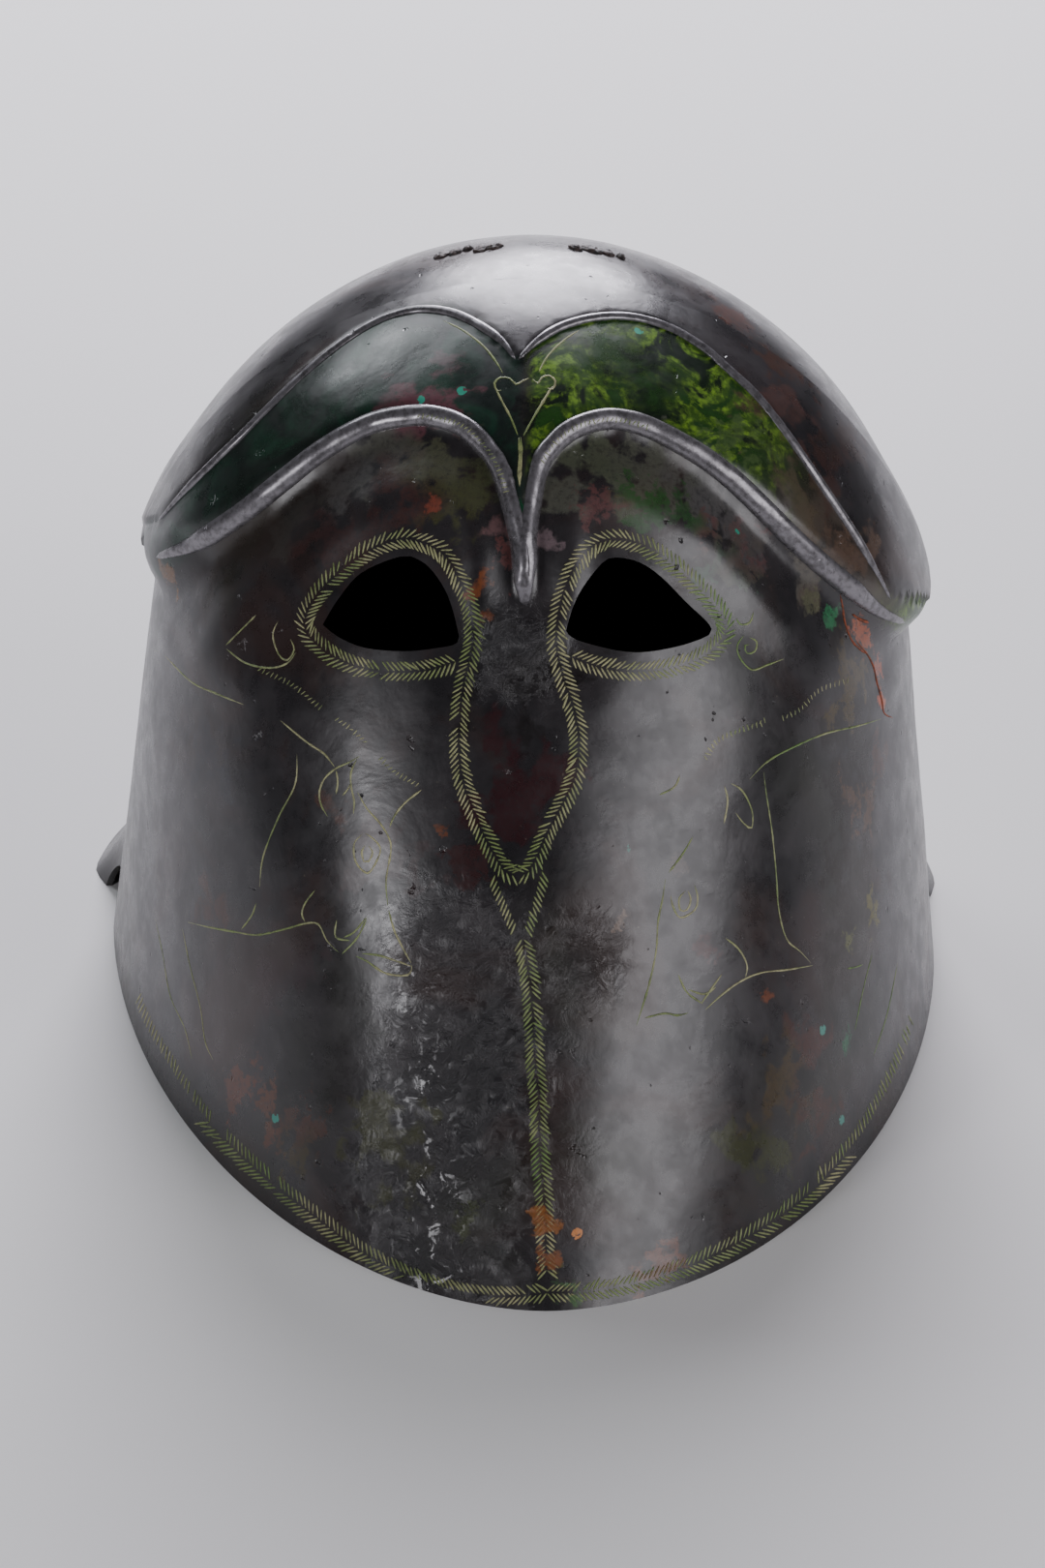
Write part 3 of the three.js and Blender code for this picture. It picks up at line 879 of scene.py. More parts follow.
@dataclass
class ChasedBorders:
    """The herringbone borders round the eyes, the nose guard, the seam and the rim."""

    pitch: float = 1.32
    stroke_length: float = 3.5
    stroke_width: float = 0.52
    stroke_height: float = 0.2
    row_offset: float = 1.36
    lean: float = 46.0
    wander: float = 0.2  # how unevenly the punch was held
    nose_left: tuple[Point, ...] = (
        (-17.5, 164.6), (-24.0, 162.8), (-31.0, 162.2), (-40.0, 163.0), (-48.0, 166.0), (-54.0, 171.0), (-55.4, 175.5),
        (-52.6, 181.4), (-47.0, 187.3), (-40.0, 192.6), (-32.0, 195.9), (-26.0, 195.4), (-20.0, 192.0), (-16.0, 185.5),
        (-13.2, 178.0), (-12.6, 171.0), (-13.4, 165.9), (-15.2, 158.0), (-16.1, 150.0), (-16.2, 143.0), (-15.4, 135.3),
        (-12.3, 126.2), (-8.8, 118.6), (-5.8, 113.4), (-3.6, 111.0), (-1.6, 110.3),
    )
    nose_right: tuple[Point, ...] = (
        (13.0, 165.8), (20.0, 163.4), (27.0, 162.4), (35.0, 162.8), (43.0, 164.8), (49.2, 168.6), (51.8, 173.4),
        (48.6, 179.8), (42.4, 186.2), (36.0, 191.4), (30.0, 194.8), (23.0, 196.0), (17.0, 193.6), (12.6, 187.5),
        (9.8, 180.0), (8.6, 172.0), (8.9, 167.0), (10.5, 160.6), (13.0, 152.6), (14.3, 145.0), (13.4, 136.0),
        (10.4, 129.0), (6.7, 122.2), (3.8, 115.6), (1.4, 111.6), (-1.0, 110.4),
    )
    meeting_left: tuple[Point, ...] = ((-7.9, 109.4), (-5.4, 103.4), (-2.2, 96.2))
    meeting_right: tuple[Point, ...] = ((5.9, 110.6), (3.8, 103.4), (1.4, 95.4))
    seam: tuple[Point, ...] = (
        (0.1, 93.4), (1.5, 86.3), (2.6, 74.9), (3.3, 62.0), (4.1, 53.8), (4.5, 38.7), (5.5, 27.4), (5.9, 16.0),
        (6.3, 8.4),
    )
    rim_left: tuple[Point, ...] = (
        (5.6, 4.0), (-4.0, 3.2), (-14.0, 3.9), (-22.9, 6.0), (-32.0, 9.6), (-42.0, 15.2), (-53.0, 23.6), (-64.0, 32.2),
        (-74.0, 41.2), (-83.2, 51.4), (-91.0, 63.0), (-97.0, 73.4), (-101.0, 84.0),
    )
    rim_right: tuple[Point, ...] = (
        (6.6, 4.0), (16.0, 4.4), (27.0, 6.2), (37.0, 9.0), (47.0, 12.8), (58.0, 18.6), (69.0, 26.0), (79.0, 35.4),
        (87.6, 46.0), (94.0, 57.4), (98.6, 68.0), (101.4, 78.0),
    )

    def row(self, engraver: Engraver, line: list[Point], side: float, offset: float, gaps: float = 0.0) -> None:
        """Punch one row of leaning strokes beside a line.

        Args:
            engraver: What lays the strokes.
            line: The border's middle line.
            side: 1 for the row on its left, -1 for the row on its right, in the line's direction.
            offset: Millimetres from the line to the middle of the strokes.
            gaps: About the share of the strokes that is worn away.
        """
        turn = math.radians(self.lean) * side
        for i, ((x, y), (dx, dy)) in enumerate(resampled(line, self.pitch)):
            shake = noise.noise(Vector((x * 0.9, y * 0.9, side * 3.0 + i * 0.37)))
            worn = noise.noise(Vector((x * 0.21, y * 0.21, side * 9.0))) + 0.6 * shake
            if worn > 1.0 - 1.6 * gaps:
                continue
            angle = turn + shake * self.wander * 1.6
            cosine, sine = math.cos(angle), math.sin(angle)
            away = side * offset * (1 + self.wander * shake)
            engraver.stroke(
                (x - dy * away, y + dx * away),
                (dx * cosine - dy * sine, dx * sine + dy * cosine),
                self.stroke_length * (1 + 1.6 * self.wander * shake),
                self.stroke_width * (1 + 1.8 * self.wander * shake),
                self.stroke_height,
            )

    def build(self, finder: Finder, material: bpy.types.Material) -> list[bpy.types.Object]:
        """Punch every border on the sheet.

        Args:
            finder: What finds the strokes' places on the bronze.
            material: Their finish.

        Returns:
            The borders.
        """
        plans = {
            "eye_and_nose_borders": ((self.nose_left, (1, -1), 0.2), (self.nose_right, (1, -1), 0.16)),
            "seam_border": (
                (self.meeting_left, (-1,), 0.0),
                (self.meeting_right, (1,), 0.0),
                (self.seam, (1, -1), 0.05),
            ),
            "rim_border": ((self.rim_left, (1, -1), 0.3), (self.rim_right, (1, -1), 0.3)),
        }
        pieces = []
        for name, rows in plans.items():
            engraver = Engraver(finder)
            for points, sides, gaps in rows:
                line = flowing(list(points), 0.8)
                for side in sides:
                    self.row(engraver, line, side, self.row_offset * (len(sides) - 1), gaps)
            pieces.append(engraver.finish(name, material))
        return pieces


@dataclass
class Engravings:
    """The boars on the cheeks, the curls by the eyes and the lotus over the nose."""

    width: float = 0.000506
    lotus_width: float = 0.000598
    height: float = 0.00010
    bristle_pitch: float = 1.15
    bristle: tuple[float, float, float] = (1.5, 0.3, 0.1)  # millimetres long, wide and high
    bristle_lean: float = 70.0
    left_boar: tuple[tuple[Point, ...], ...] = (
        ((169, 676), (197, 704), (222, 716), (254, 729)),
        ((288, 743), (316, 766), (335, 779), (347, 794)),
        ((374, 780), (360, 788), (347, 794), (335, 805), (330, 819), (332, 832), (340, 846)),
        ((347, 794), (349, 808), (347, 822)),
        ((370, 782), (363, 797), (363, 813), (366, 828), (365, 843)),
        ((363, 808), (359, 816), (353, 823)),
        ((368, 816), (379, 835), (393, 851), (402, 866), (404, 879), (399, 910), (401, 938)),
        ((401, 938), (407, 960), (416, 979), (426, 997)),
        ((426, 995), (424, 1005), (416, 1008), (397, 1005), (379, 993), (366, 987)),
        ((427, 999), (410, 993), (391, 987), (372, 985)),
        ((437, 815), (419, 829), (407, 844), (402, 857)),
        ((376, 860), (366, 872), (368, 891), (380, 902), (390, 888), (393, 876), (385, 866), (376, 860)),
        ((379, 872), (374, 879), (376, 890), (381, 890), (385, 880), (379, 872)),
        ((191, 952), (216, 958), (244, 963), (266, 966), (294, 960), (316, 954), (329, 955), (338, 972), (351, 985)),
        ((327, 918), (316, 932), (312, 944), (316, 954)),
        ((265, 932), (260, 946), (248, 962)),
        ((348, 949), (347, 968), (363, 972)),
        ((380, 946), (366, 963), (354, 969)),
        ((380, 947), (369, 969), (352, 987)),
        ((307, 776), (305, 810), (288, 844), (272, 885), (268, 919)),
        ((160, 947), (168, 985), (176, 1029), (191, 1063), (199, 1097)),
        ((188, 957), (197, 1001), (207, 1041), (212, 1076), (221, 1097)),
    )
    left_curl: tuple[tuple[Point, ...], ...] = (
        ((266, 634), (258, 642), (248, 652), (232, 668)),
        ((232, 669), (254, 685), (279, 690), (297, 685), (307, 672)),
        ((288, 640), (282, 656), (288, 676), (297, 682), (304, 671), (299, 658)),
    )
    right_boar: tuple[tuple[Point, ...], ...] = (
        ((913, 742), (887, 750), (853, 758), (820, 772), (793, 787), (773, 807)),
        ((753, 808), (767, 817), (777, 837), (777, 855), (769, 851), (759, 838)),
        ((748, 810), (752, 827), (748, 853)),
        ((789, 795), (792, 820), (798, 860), (802, 900), (805, 940), (813, 970), (827, 983), (840, 997)),
        ((843, 997), (813, 1002), (787, 1005), (767, 1013), (747, 1027), (727, 1045)),
        ((713, 1046), (700, 1049), (687, 1047), (665, 1052)),
        ((717, 863), (705, 883), (690, 903)),
        ((688, 905), (685, 927), (680, 953), (678, 983), (670, 1020), (657, 1062)),
        ((717, 912), (721, 927), (718, 940), (703, 948), (695, 935), (693, 923)),
        ((710, 919), (702, 928), (703, 940), (710, 940), (714, 929), (710, 919)),
        ((748, 968), (763, 980), (772, 997), (770, 1012)),
        ((700, 1005), (709, 1024), (720, 1033), (728, 1038)),
        ((747, 1005), (735, 1022), (724, 1038)),
        ((710, 1022), (728, 1027), (741, 1019)),
        ((902, 983), (892, 1023), (883, 1067)),
        ((928, 993), (917, 1047), (902, 1093)),
        ((875, 1001), (885, 999), (893, 996)),
        ((703, 800), (697, 813), (680, 822)),
    )
    right_curl: tuple[tuple[Point, ...], ...] = (
        ((760, 637), (765, 645), (775, 643), (779, 631)),
        ((770, 655), (762, 667), (765, 680), (777, 692), (793, 687), (812, 680)),
        ((773, 658), (782, 663), (780, 673), (772, 675), (770, 667), (777, 666)),
    )
    left_mane: tuple[tuple[Point, ...], ...] = (
        ((266, 691), (301, 707), (332, 732)),
        ((346, 742), (360, 751), (379, 768)),
        ((392, 782), (407, 797), (435, 813)),
    )
    right_mane: tuple[tuple[Point, ...], ...] = (
        ((728, 785), (740, 767), (753, 760), (793, 743)),
        ((732, 776), (744, 763), (760, 756), (790, 747)),
        ((807, 743), (827, 733), (847, 713), (877, 703)),
    )
    rib_hatching: tuple[tuple[Point, ...], ...] = (
        ((430, 430), (447, 431), (478, 440), (501, 461), (515, 484), (523, 508)),
        ((671, 442), (647, 435), (622, 434), (592, 443), (571, 461), (559, 481)),
    )
    lotus: tuple[tuple[Point, ...], ...] = (
        ((520, 402), (514, 404), (511, 396), (517, 390), (527, 391), (533, 397), (541, 393), (549, 390)),
        ((549, 390), (556, 396), (560, 390), (568, 388), (574, 394), (571, 402), (564, 400)),
        ((511, 399), (519, 415), (528, 432), (536, 452)),
        ((572, 397), (563, 412), (551, 432), (540, 452)),
        ((536, 450), (537, 468), (536, 486), (537, 504)),
        ((538, 450), (539, 468), (538, 486), (537, 504)),
        ((455, 330), (478, 341), (500, 358), (514, 376), (521, 388)),
        ((556, 386), (566, 368), (582, 352), (600, 340)),
    )

    def build(self, finder: Finder, material: bpy.types.Material) -> list[bpy.types.Object]:
        """Engrave every motif.

        Args:
            finder: What finds the lines' places on the bronze.
            material: Their finish.

        Returns:
            The motifs.
        """
        motifs = {
            "boar_left": (self.left_boar, self.left_mane),
            "boar_right": (self.right_boar, self.right_mane),
            "curl_left": (self.left_curl, ()),
            "curl_right": (self.right_curl, ()),
            "lotus": (self.lotus, ()),
            "rib_hatching": ((), self.rib_hatching),
        }
        pieces = []
        for name, (drawn, mane) in motifs.items():
            engraver = Engraver(finder)
            for points in drawn:
                width = self.lotus_width if name == "lotus" else self.width
                engraver.line(chart(*points), width, self.height)
            for points in mane:
                self.bristles(engraver, chart(*points))
            pieces.append(engraver.finish(name, material))
        return pieces

    def bristles(self, engraver: Engraver, row: list[Point]) -> None:
        """Punch the short bristles of a mane along a row.

        Args:
            engraver: What lays the strokes.
            row: The row on the picture plane.
        """
        length, width, height = self.bristle
        for i, (spot, (dx, dy)) in enumerate(resampled(flowing(row, 0.8), self.bristle_pitch)):
            wander = noise.noise(Vector((spot[0], spot[1], i * 0.7)))
            turn = math.radians(self.bristle_lean) + wander
            way = (dx * math.cos(turn) - dy * math.sin(turn), dx * math.sin(turn) + dy * math.cos(turn))
            engraver.stroke(spot, way, length * (1 + 0.5 * wander), width, height)


CRUST_GRAIN = 150.0
SPOT_RADIUS = 2.5  # millimetres; a smaller patch is finer than the mesh, so the nodes place it
TURQUOISE: Colour = (0.02, 0.30, 0.20)
SEA_GREEN: Colour = (0.05, 0.24, 0.19)


@dataclass(frozen=True)
class Patch:
    """A stain, a crust or a pale patch of painted highlight on the bronze, where the picture shows one."""

    across: float
    up: float
    radius: float  # millimetres
    colour: Colour
    cover: float  # share of its middle that is filled
    grain: float  # from CRUST_GRAIN on it is a crust, below that it joins the soft layer of blooms and painted highlights
    strength: float
    on_lines: bool = False  # whether it also colours the chased lines

    def weight(self, distance: np.ndarray) -> np.ndarray:
        """Give 1 in the patch's middle, falling to 0 at its radius."""
        return 1 - smooth(distance, self.radius * 0.25 * MM, self.radius * MM)


class Shader:
    """A small helper that adds nodes to one material."""

    def __init__(self, name: str) -> None:
        """Start a material with an empty Principled surface."""
        self.material = bpy.data.materials.new(name)
        self.material.use_nodes = True
        self.tree = self.material.node_tree
        self.surface = self.tree.nodes["Principled BSDF"]
        self.coordinates = self.tree.nodes.new("ShaderNodeTexCoord").outputs["Object"]

    def put(self, kind: str, **settings: object) -> bpy.types.Node:
        """Add a node and set its properties.

        Args:
            kind: The node's type.
            settings: Its properties by name.

        Returns:
            The node.
        """
        node = self.tree.nodes.new(kind)
        for key, value in settings.items():
            setattr(node, key, value)
        return node

    def feed(self, socket: bpy.types.NodeSocket, value: object) -> None:
        """Link an output to a socket, or set the socket's own value.

        Args:
            socket: The input that is fed.
            value: An output, or a plain value.
        """
        if isinstance(value, bpy.types.NodeSocket):
            self.tree.links.new(value, socket)
        else:
            socket.default_value = value

    def noise(self, scale: float, detail: float = 4.0, rough: float = 0.55, twist: float = 0.0) -> bpy.types.NodeSocket:
        """Give noise over the object's own coordinates.

        Args:
            scale: Its grains per metre.
            detail: Its octaves.
            rough: How much the finer octaves count.
            twist: How much it is warped.

        Returns:
            The noise, from 0 to 1.
        """
        node = self.put("ShaderNodeTexNoise")
        self.feed(node.inputs["Vector"], self.coordinates)
        node.inputs["Scale"].default_value = scale
        node.inputs["Detail"].default_value = detail
        node.inputs["Roughness"].default_value = rough
        node.inputs["Distortion"].default_value = twist
        return node.outputs["Fac"]

    def ease(
        self, value: object, low: float, high: float, start: float = 0.0, end: float = 1.0
    ) -> bpy.types.NodeSocket:
        """Ease a value from one range to another.

        Args:
            value: The value.
            low: Where the result leaves its start.
            high: Where the result reaches its end.
            start: The result's start.
            end: The result's end.

        Returns:
            The eased value.
        """
        node = self.put("ShaderNodeMapRange", interpolation_type="SMOOTHSTEP")
        self.feed(node.inputs["Value"], value)
        node.inputs["From Min"].default_value = low
        node.inputs["From Max"].default_value = high
        node.inputs["To Min"].default_value = start
        node.inputs["To Max"].default_value = end
        return node.outputs["Result"]

    def reckon(self, kind: str, a: object, b: object) -> bpy.types.NodeSocket:
        """Work out one step of arithmetic.

        Args:
            kind: The Math node's operation.
            a: Its first value.
            b: Its second value.

        Returns:
            The result.
        """
        node = self.put("ShaderNodeMath", operation=kind)
        self.feed(node.inputs[0], a)
        self.feed(node.inputs[1], b)
        return node.outputs["Value"]

    def times(self, a: object, b: object) -> bpy.types.NodeSocket:
        """Multiply two values."""
        return self.reckon("MULTIPLY", a, b)

    def blend(self, share: object, low: object, high: object) -> bpy.types.NodeSocket:
        """Mix two colours.

        Args:
            share: 0 for the first colour, 1 for the second.
            low: The first colour.
            high: The second colour.

        Returns:
            The mixed colour.
        """
        node = self.put("ShaderNodeMix", data_type="RGBA")
        self.feed(node.inputs[0], share)
        self.feed(node.inputs[6], low)
        self.feed(node.inputs[7], high)
        return node.outputs[2]

    def near(self, spot: Vector, radius: float) -> bpy.types.NodeSocket:
        """Give a soft round spot.

        Args:
            spot: Its middle.
            radius: Its radius.

        Returns:
            1 in its middle, falling to 0 at its radius.
        """
        node = self.put("ShaderNodeVectorMath", operation="DISTANCE")
        self.feed(node.inputs[0], self.coordinates)
        node.inputs[1].default_value = spot
        return self.ease(node.outputs["Value"], radius, radius * 0.25)

    def attribute(self, name: str, output: str = "Fac") -> bpy.types.NodeSocket:
        """Read one of the piece's own marks."""
        return self.put("ShaderNodeAttribute", attribute_name=name).outputs[output]

    def bump(self, height: object, distance: float, strength: float, below: object = None) -> bpy.types.NodeSocket:
        """Add fine relief.

        Args:
            height: The relief, from 0 to 1.
            distance: How deep it is.
            strength: How much of it counts.
            below: The normal of the relief that it is laid over.

        Returns:
            The normal.
        """
        node = self.put("ShaderNodeBump")
        node.inputs["Strength"].default_value = strength
        node.inputs["Distance"].default_value = distance
        self.feed(node.inputs["Height"], height)
        if below is not None:
            self.feed(node.inputs["Normal"], below)
        return node.outputs["Normal"]


def rgb(red: float, green: float, blue: float) -> tuple[float, float, float, float]:
    """Give a colour with its alpha."""
    return (red, green, blue, 1.0)


@dataclass(frozen=True)
class Patina:
    """The old bronze's skin: near-black brown wax, greens, reds and pits, with painted highlight on the ribs and along
    the brow folds.
    """

    dark: Colour = (0.012, 0.011, 0.0125)
    brown: Colour = (0.030, 0.026, 0.028)
    index: float = 1.56
    line_share: float = 0.86  # how much of the pale green shows on the chased and engraved lines
    outside: float = -2.0  # the depth where no patch reaches
    fall: float = 1.3  # how much less deep a patch is at its edge
    fill: float = 1.15
    wander: tuple[tuple[int, float, float], ...] = (  # axis shift, waves per metre and share of a patch's radius
        (1, 260.0, 0.22),
        (2, 430.0, 0.2),
        (1, 910.0, 0.16),
        (2, 1370.0, 0.12),
    )
    patches: tuple[Patch, ...] = (
        # the band over the left brow: a mauve crust with turquoise in it
        Patch(-24, 230, 14, (0.115, 0.036, 0.048), 0.66, 110, 0.9),
        Patch(-33, 228, 8, (0.075, 0.026, 0.033), 0.55, 130, 0.7),
        Patch(-20, 241, 9, (0.10, 0.048, 0.056), 0.45, 130, 0.6),
        Patch(-26.0, 231.5, 2.0, TURQUOISE, 0.8, 420, 1.0),
        Patch(-15.5, 233.8, 2.2, TURQUOISE, 0.8, 420, 1.0),
        # the dark calyx between the lotus lines
        Patch(0.2, 229.5, 6, (0.003, 0.003, 0.003), 0.8, 160, 0.95),
        # the band over the right brow, greens that run out into brown and pink
        Patch(29.6, 249.0, 2.0, TURQUOISE, 0.8, 420, 1.0),
        Patch(70.0, 205.0, 15, (0.075, 0.060, 0.036), 0.55, 100, 0.8),
        Patch(80.0, 192.0, 16, (0.10, 0.062, 0.042), 0.55, 110, 0.8),
        Patch(55.0, 222.0, 12, (0.060, 0.10, 0.030), 0.45, 160, 0.7),
        Patch(66.0, 228.0, 14, (0.075, 0.036, 0.030), 0.45, 120, 0.7),
        Patch(78.0, 214.0, 14, (0.050, 0.022, 0.018), 0.5, 110, 0.7),
        # the folds that follow both brow ribs: pale grey, olive and pink patches, a painted highlight along the lit
        # folds over their own olive patina
        Patch(-48.0, 211.5, 13, (0.10, 0.095, 0.09), 0.7, 100, 0.5),
        Patch(-34.0, 217.5, 12, (0.12, 0.12, 0.095), 0.75, 100, 0.55),
        Patch(-21.0, 216.5, 12, (0.11, 0.115, 0.065), 0.8, 100, 0.6),
        Patch(-11.0, 209.0, 10, (0.085, 0.10, 0.045), 0.75, 110, 0.6),
        Patch(-5.5, 198.0, 5, (0.16, 0.085, 0.085), 0.7, 120, 0.8),
        Patch(4.6, 196.0, 5, (0.18, 0.13, 0.14), 0.7, 120, 0.8),
        Patch(10.0, 208.0, 10, (0.12, 0.125, 0.095), 0.8, 110, 0.6),
        Patch(46.0, 207.5, 13, (0.12, 0.115, 0.11), 0.75, 100, 0.55),
        Patch(59.0, 198.0, 13, (0.11, 0.10, 0.10), 0.7, 110, 0.5),
        Patch(72.0, 187.0, 9, (0.12, 0.11, 0.09), 0.6, 120, 0.7),
        Patch(22.0, 214.0, 13, (0.100, 0.115, 0.070), 0.8, 90, 0.6),
        Patch(34.0, 213.0, 13, (0.11, 0.115, 0.085), 0.8, 110, 0.6),
        # under the right brow: green and red crusts
        Patch(30.0, 206.5, 10, (0.022, 0.075, 0.018), 0.5, 190, 0.85),
        Patch(40.0, 203.0, 8, (0.020, 0.070, 0.020), 0.45, 210, 0.8),
        Patch(18.0, 204.0, 9, (0.115, 0.046, 0.044), 0.35, 230, 0.8),
        Patch(46.0, 199.0, 10, (0.110, 0.050, 0.048), 0.4, 230, 0.8),
        Patch(58.0, 192.0, 11, (0.105, 0.050, 0.048), 0.35, 240, 0.75),
        Patch(52.0, 191.0, 12, (0.030, 0.075, 0.045), 0.35, 240, 0.7),
        Patch(54.6, 197.8, 1.6, TURQUOISE, 0.7, 500, 1.0),
        # under the left brow: a dark red-brown hollow with an olive fold
        Patch(-18.0, 207.0, 13, (0.060, 0.062, 0.022), 0.5, 110, 0.75),
        Patch(-30.0, 208.0, 13, (0.060, 0.022, 0.018), 0.55, 120, 0.7),
        Patch(-24.0, 205.0, 4, (0.20, 0.050, 0.030), 0.35, 320, 0.9),
        Patch(-60.0, 198.0, 12, (0.045, 0.040, 0.034), 0.5, 120, 0.6),
        Patch(-44.0, 196.0, 16, (0.050, 0.020, 0.018), 0.45, 130, 0.6),
        # between the brows
        Patch(-1.6, 204.0, 4.5, (0.004, 0.070, 0.026), 0.9, 200, 0.95),
        Patch(-5.0, 190.5, 6.0, (0.125, 0.044, 0.040), 0.65, 180, 0.85),
        Patch(1.0, 186.0, 5.0, (0.125, 0.048, 0.046), 0.6, 200, 0.85),
        Patch(-11.0, 184.0, 4.0, (0.17, 0.048, 0.014), 0.5, 260, 0.9),
        Patch(-9.0, 176.0, 3.0, (0.14, 0.042, 0.014), 0.5, 260, 0.8),
        # the nose guard
        Patch(0.0, 160.0, 17, (0.006, 0.004, 0.004), 0.75, 120, 0.85),
        Patch(-1.0, 134.0, 14, (0.028, 0.006, 0.008), 0.85, 70, 0.9),
        Patch(0.0, 124.0, 9, (0.026, 0.006, 0.008), 0.8, 90, 0.9),
        Patch(-19.0, 123.0, 3.0, (0.13, 0.036, 0.010), 0.6, 330, 0.9),
        Patch(-15.0, 112.0, 9, (0.035, 0.010, 0.010), 0.6, 160, 0.8),
        # the dark strip down the right temple, and its rust
        Patch(84.0, 168.0, 11, (0.010, 0.006, 0.004), 0.8, 130, 0.95),
        Patch(84.0, 150.0, 14, (0.009, 0.006, 0.004), 0.85, 130, 0.95),
        Patch(84.5, 128.0, 15, (0.010, 0.006, 0.004), 0.85, 130, 0.95),
        Patch(84.0, 106.0, 15, (0.012, 0.007, 0.004), 0.8, 130, 0.95),
        Patch(84.0, 86.0, 13, (0.014, 0.008, 0.005), 0.7, 130, 0.9),
        Patch(83.0, 158.0, 12, (0.060, 0.040, 0.010), 0.45, 150, 0.8),
        Patch(86.0, 128.0, 12, (0.075, 0.034, 0.014), 0.4, 190, 0.8),
        Patch(91.0, 140.0, 9, (0.060, 0.026, 0.018), 0.5, 150, 0.8),
        Patch(89.0, 101.0, 9, (0.10, 0.085, 0.008), 0.5, 170, 0.9),
        Patch(83.0, 94.0, 5, (0.085, 0.090, 0.020), 0.5, 210, 0.85),
        Patch(86.0, 172.0, 7, (0.26, 0.060, 0.018), 0.5, 260, 1.0),
        Patch(90.5, 164.0, 5.5, (0.26, 0.055, 0.018), 0.55, 260, 1.0),
        Patch(91.5, 155.0, 4.5, (0.40, 0.075, 0.020), 0.5, 280, 1.0),
        Patch(79.0, 176.0, 5.0, (0.025, 0.15, 0.060), 0.5, 260, 0.95),
        Patch(74.0, 181.0, 6.0, (0.10, 0.10, 0.060), 0.45, 240, 0.9),
        # the right cheek down to the rim
        Patch(72.0, 70.0, 14, (0.060, 0.018, 0.012), 0.45, 120, 0.8),
        Patch(83.0, 68.0, 5.0, (0.012, 0.095, 0.040), 0.5, 280, 0.95),
        Patch(76.5, 71.0, 2.2, SEA_GREEN, 0.6, 360, 0.9),
        Patch(66.0, 56.0, 15, (0.060, 0.038, 0.012), 0.5, 120, 0.8),
        Patch(76.0, 50.0, 12, (0.055, 0.018, 0.010), 0.5, 140, 0.8),
        Patch(60.0, 40.0, 13, (0.040, 0.045, 0.010), 0.5, 130, 0.75),
        Patch(62.0, 78.0, 5.0, (0.17, 0.052, 0.022), 0.4, 240, 0.8),
        Patch(47.0, 91.0, 7.0, (0.080, 0.034, 0.032), 0.45, 230, 0.7),
        Patch(40.0, 112.0, 5.0, (0.075, 0.050, 0.040), 0.4, 240, 0.6),
        Patch(81.3, 48.0, 2.2, SEA_GREEN, 0.5, 360, 0.9),
        Patch(27.0, 117.5, 3.0, SEA_GREEN, 0.35, 420, 0.9),
        Patch(26.0, 98.0, 4.0, (0.16, 0.11, 0.08), 0.35, 360, 0.9),
        # the left cheek: rust at the rim and an olive bloom
        Patch(-72.0, 58.0, 12, (0.10, 0.032, 0.016), 0.45, 190, 0.9),
        Patch(-64.0, 50.0, 11, (0.10, 0.034, 0.014), 0.45, 190, 0.85),
        Patch(-54.0, 45.0, 12, (0.065, 0.024, 0.014), 0.5, 160, 0.8),
        Patch(-58.0, 40.0, 10, (0.045, 0.036, 0.010), 0.5, 160, 0.8),
        Patch(-36.0, 41.0, 15, (0.040, 0.042, 0.010), 0.6, 110, 0.8),
        Patch(-26.0, 36.0, 10, (0.034, 0.034, 0.010), 0.5, 130, 0.8),
        Patch(-62.9, 48.6, 2.2, (0.03, 0.24, 0.19), 0.6, 360, 1.0),
        Patch(-48.0, 128.0, 6.0, (0.080, 0.032, 0.020), 0.65, 130, 0.7),
        Patch(-80.0, 104.0, 10, (0.050, 0.018, 0.010), 0.5, 120, 0.8),
        Patch(-85.0, 95.0, 14, (0.008, 0.006, 0.006), 0.6, 110, 0.8),
        Patch(-34.0, 118.0, 16, (0.036, 0.016, 0.016), 0.5, 100, 0.6),
        Patch(-62.0, 84.0, 16, (0.034, 0.018, 0.020), 0.45, 100, 0.6),
        Patch(-80.0, 140.0, 14, (0.018, 0.020, 0.028), 0.5, 90, 0.6),
        # the seam's rusty foot
        Patch(5.2, 21.0, 5.5, (0.24, 0.085, 0.018), 0.6, 300, 0.9, on_lines=True),
        Patch(5.8, 13.0, 5.0, (0.20, 0.065, 0.018), 0.6, 300, 0.9, on_lines=True),
        Patch(14.0, 19.0, 2.3, (0.55, 0.20, 0.05), 0.6, 560, 1.0),
        # the temple's left corner and the crown
        Patch(-90.0, 186.0, 6, (0.13, 0.060, 0.020), 0.5, 220, 0.9),
        Patch(52.0, 254.0, 14, (0.075, 0.022, 0.012), 0.35, 190, 0.8),
        Patch(66.0, 240.0, 14, (0.050, 0.020, 0.012), 0.45, 150, 0.8),
        Patch(80.0, 222.0, 16, (0.030, 0.016, 0.012), 0.5, 120, 0.8),
        Patch(-16.0, 24.0, 8.0, (0.050, 0.060, 0.018), 0.4, 200, 0.7, on_lines=True),
        Patch(36.0, 10.0, 9.0, (0.14, 0.050, 0.026), 0.4, 240, 0.8, on_lines=True),
        Patch(12.0, 5.0, 6.0, (0.050, 0.13, 0.035), 0.4, 280, 0.8, on_lines=True),
    )
    pitted: tuple[tuple[float, float, float], ...] = (  # across, up and radius of the roughest places
        (-14.0, 62.0, 17.0),
        (-18.0, 32.0, 20.0),
        (-20.0, 10.0, 16.0),
        (-14.0, 88.0, 14.0),
        (14.0, 88.0, 9.0),
        (-2.0, 166.0, 10.0),
    )

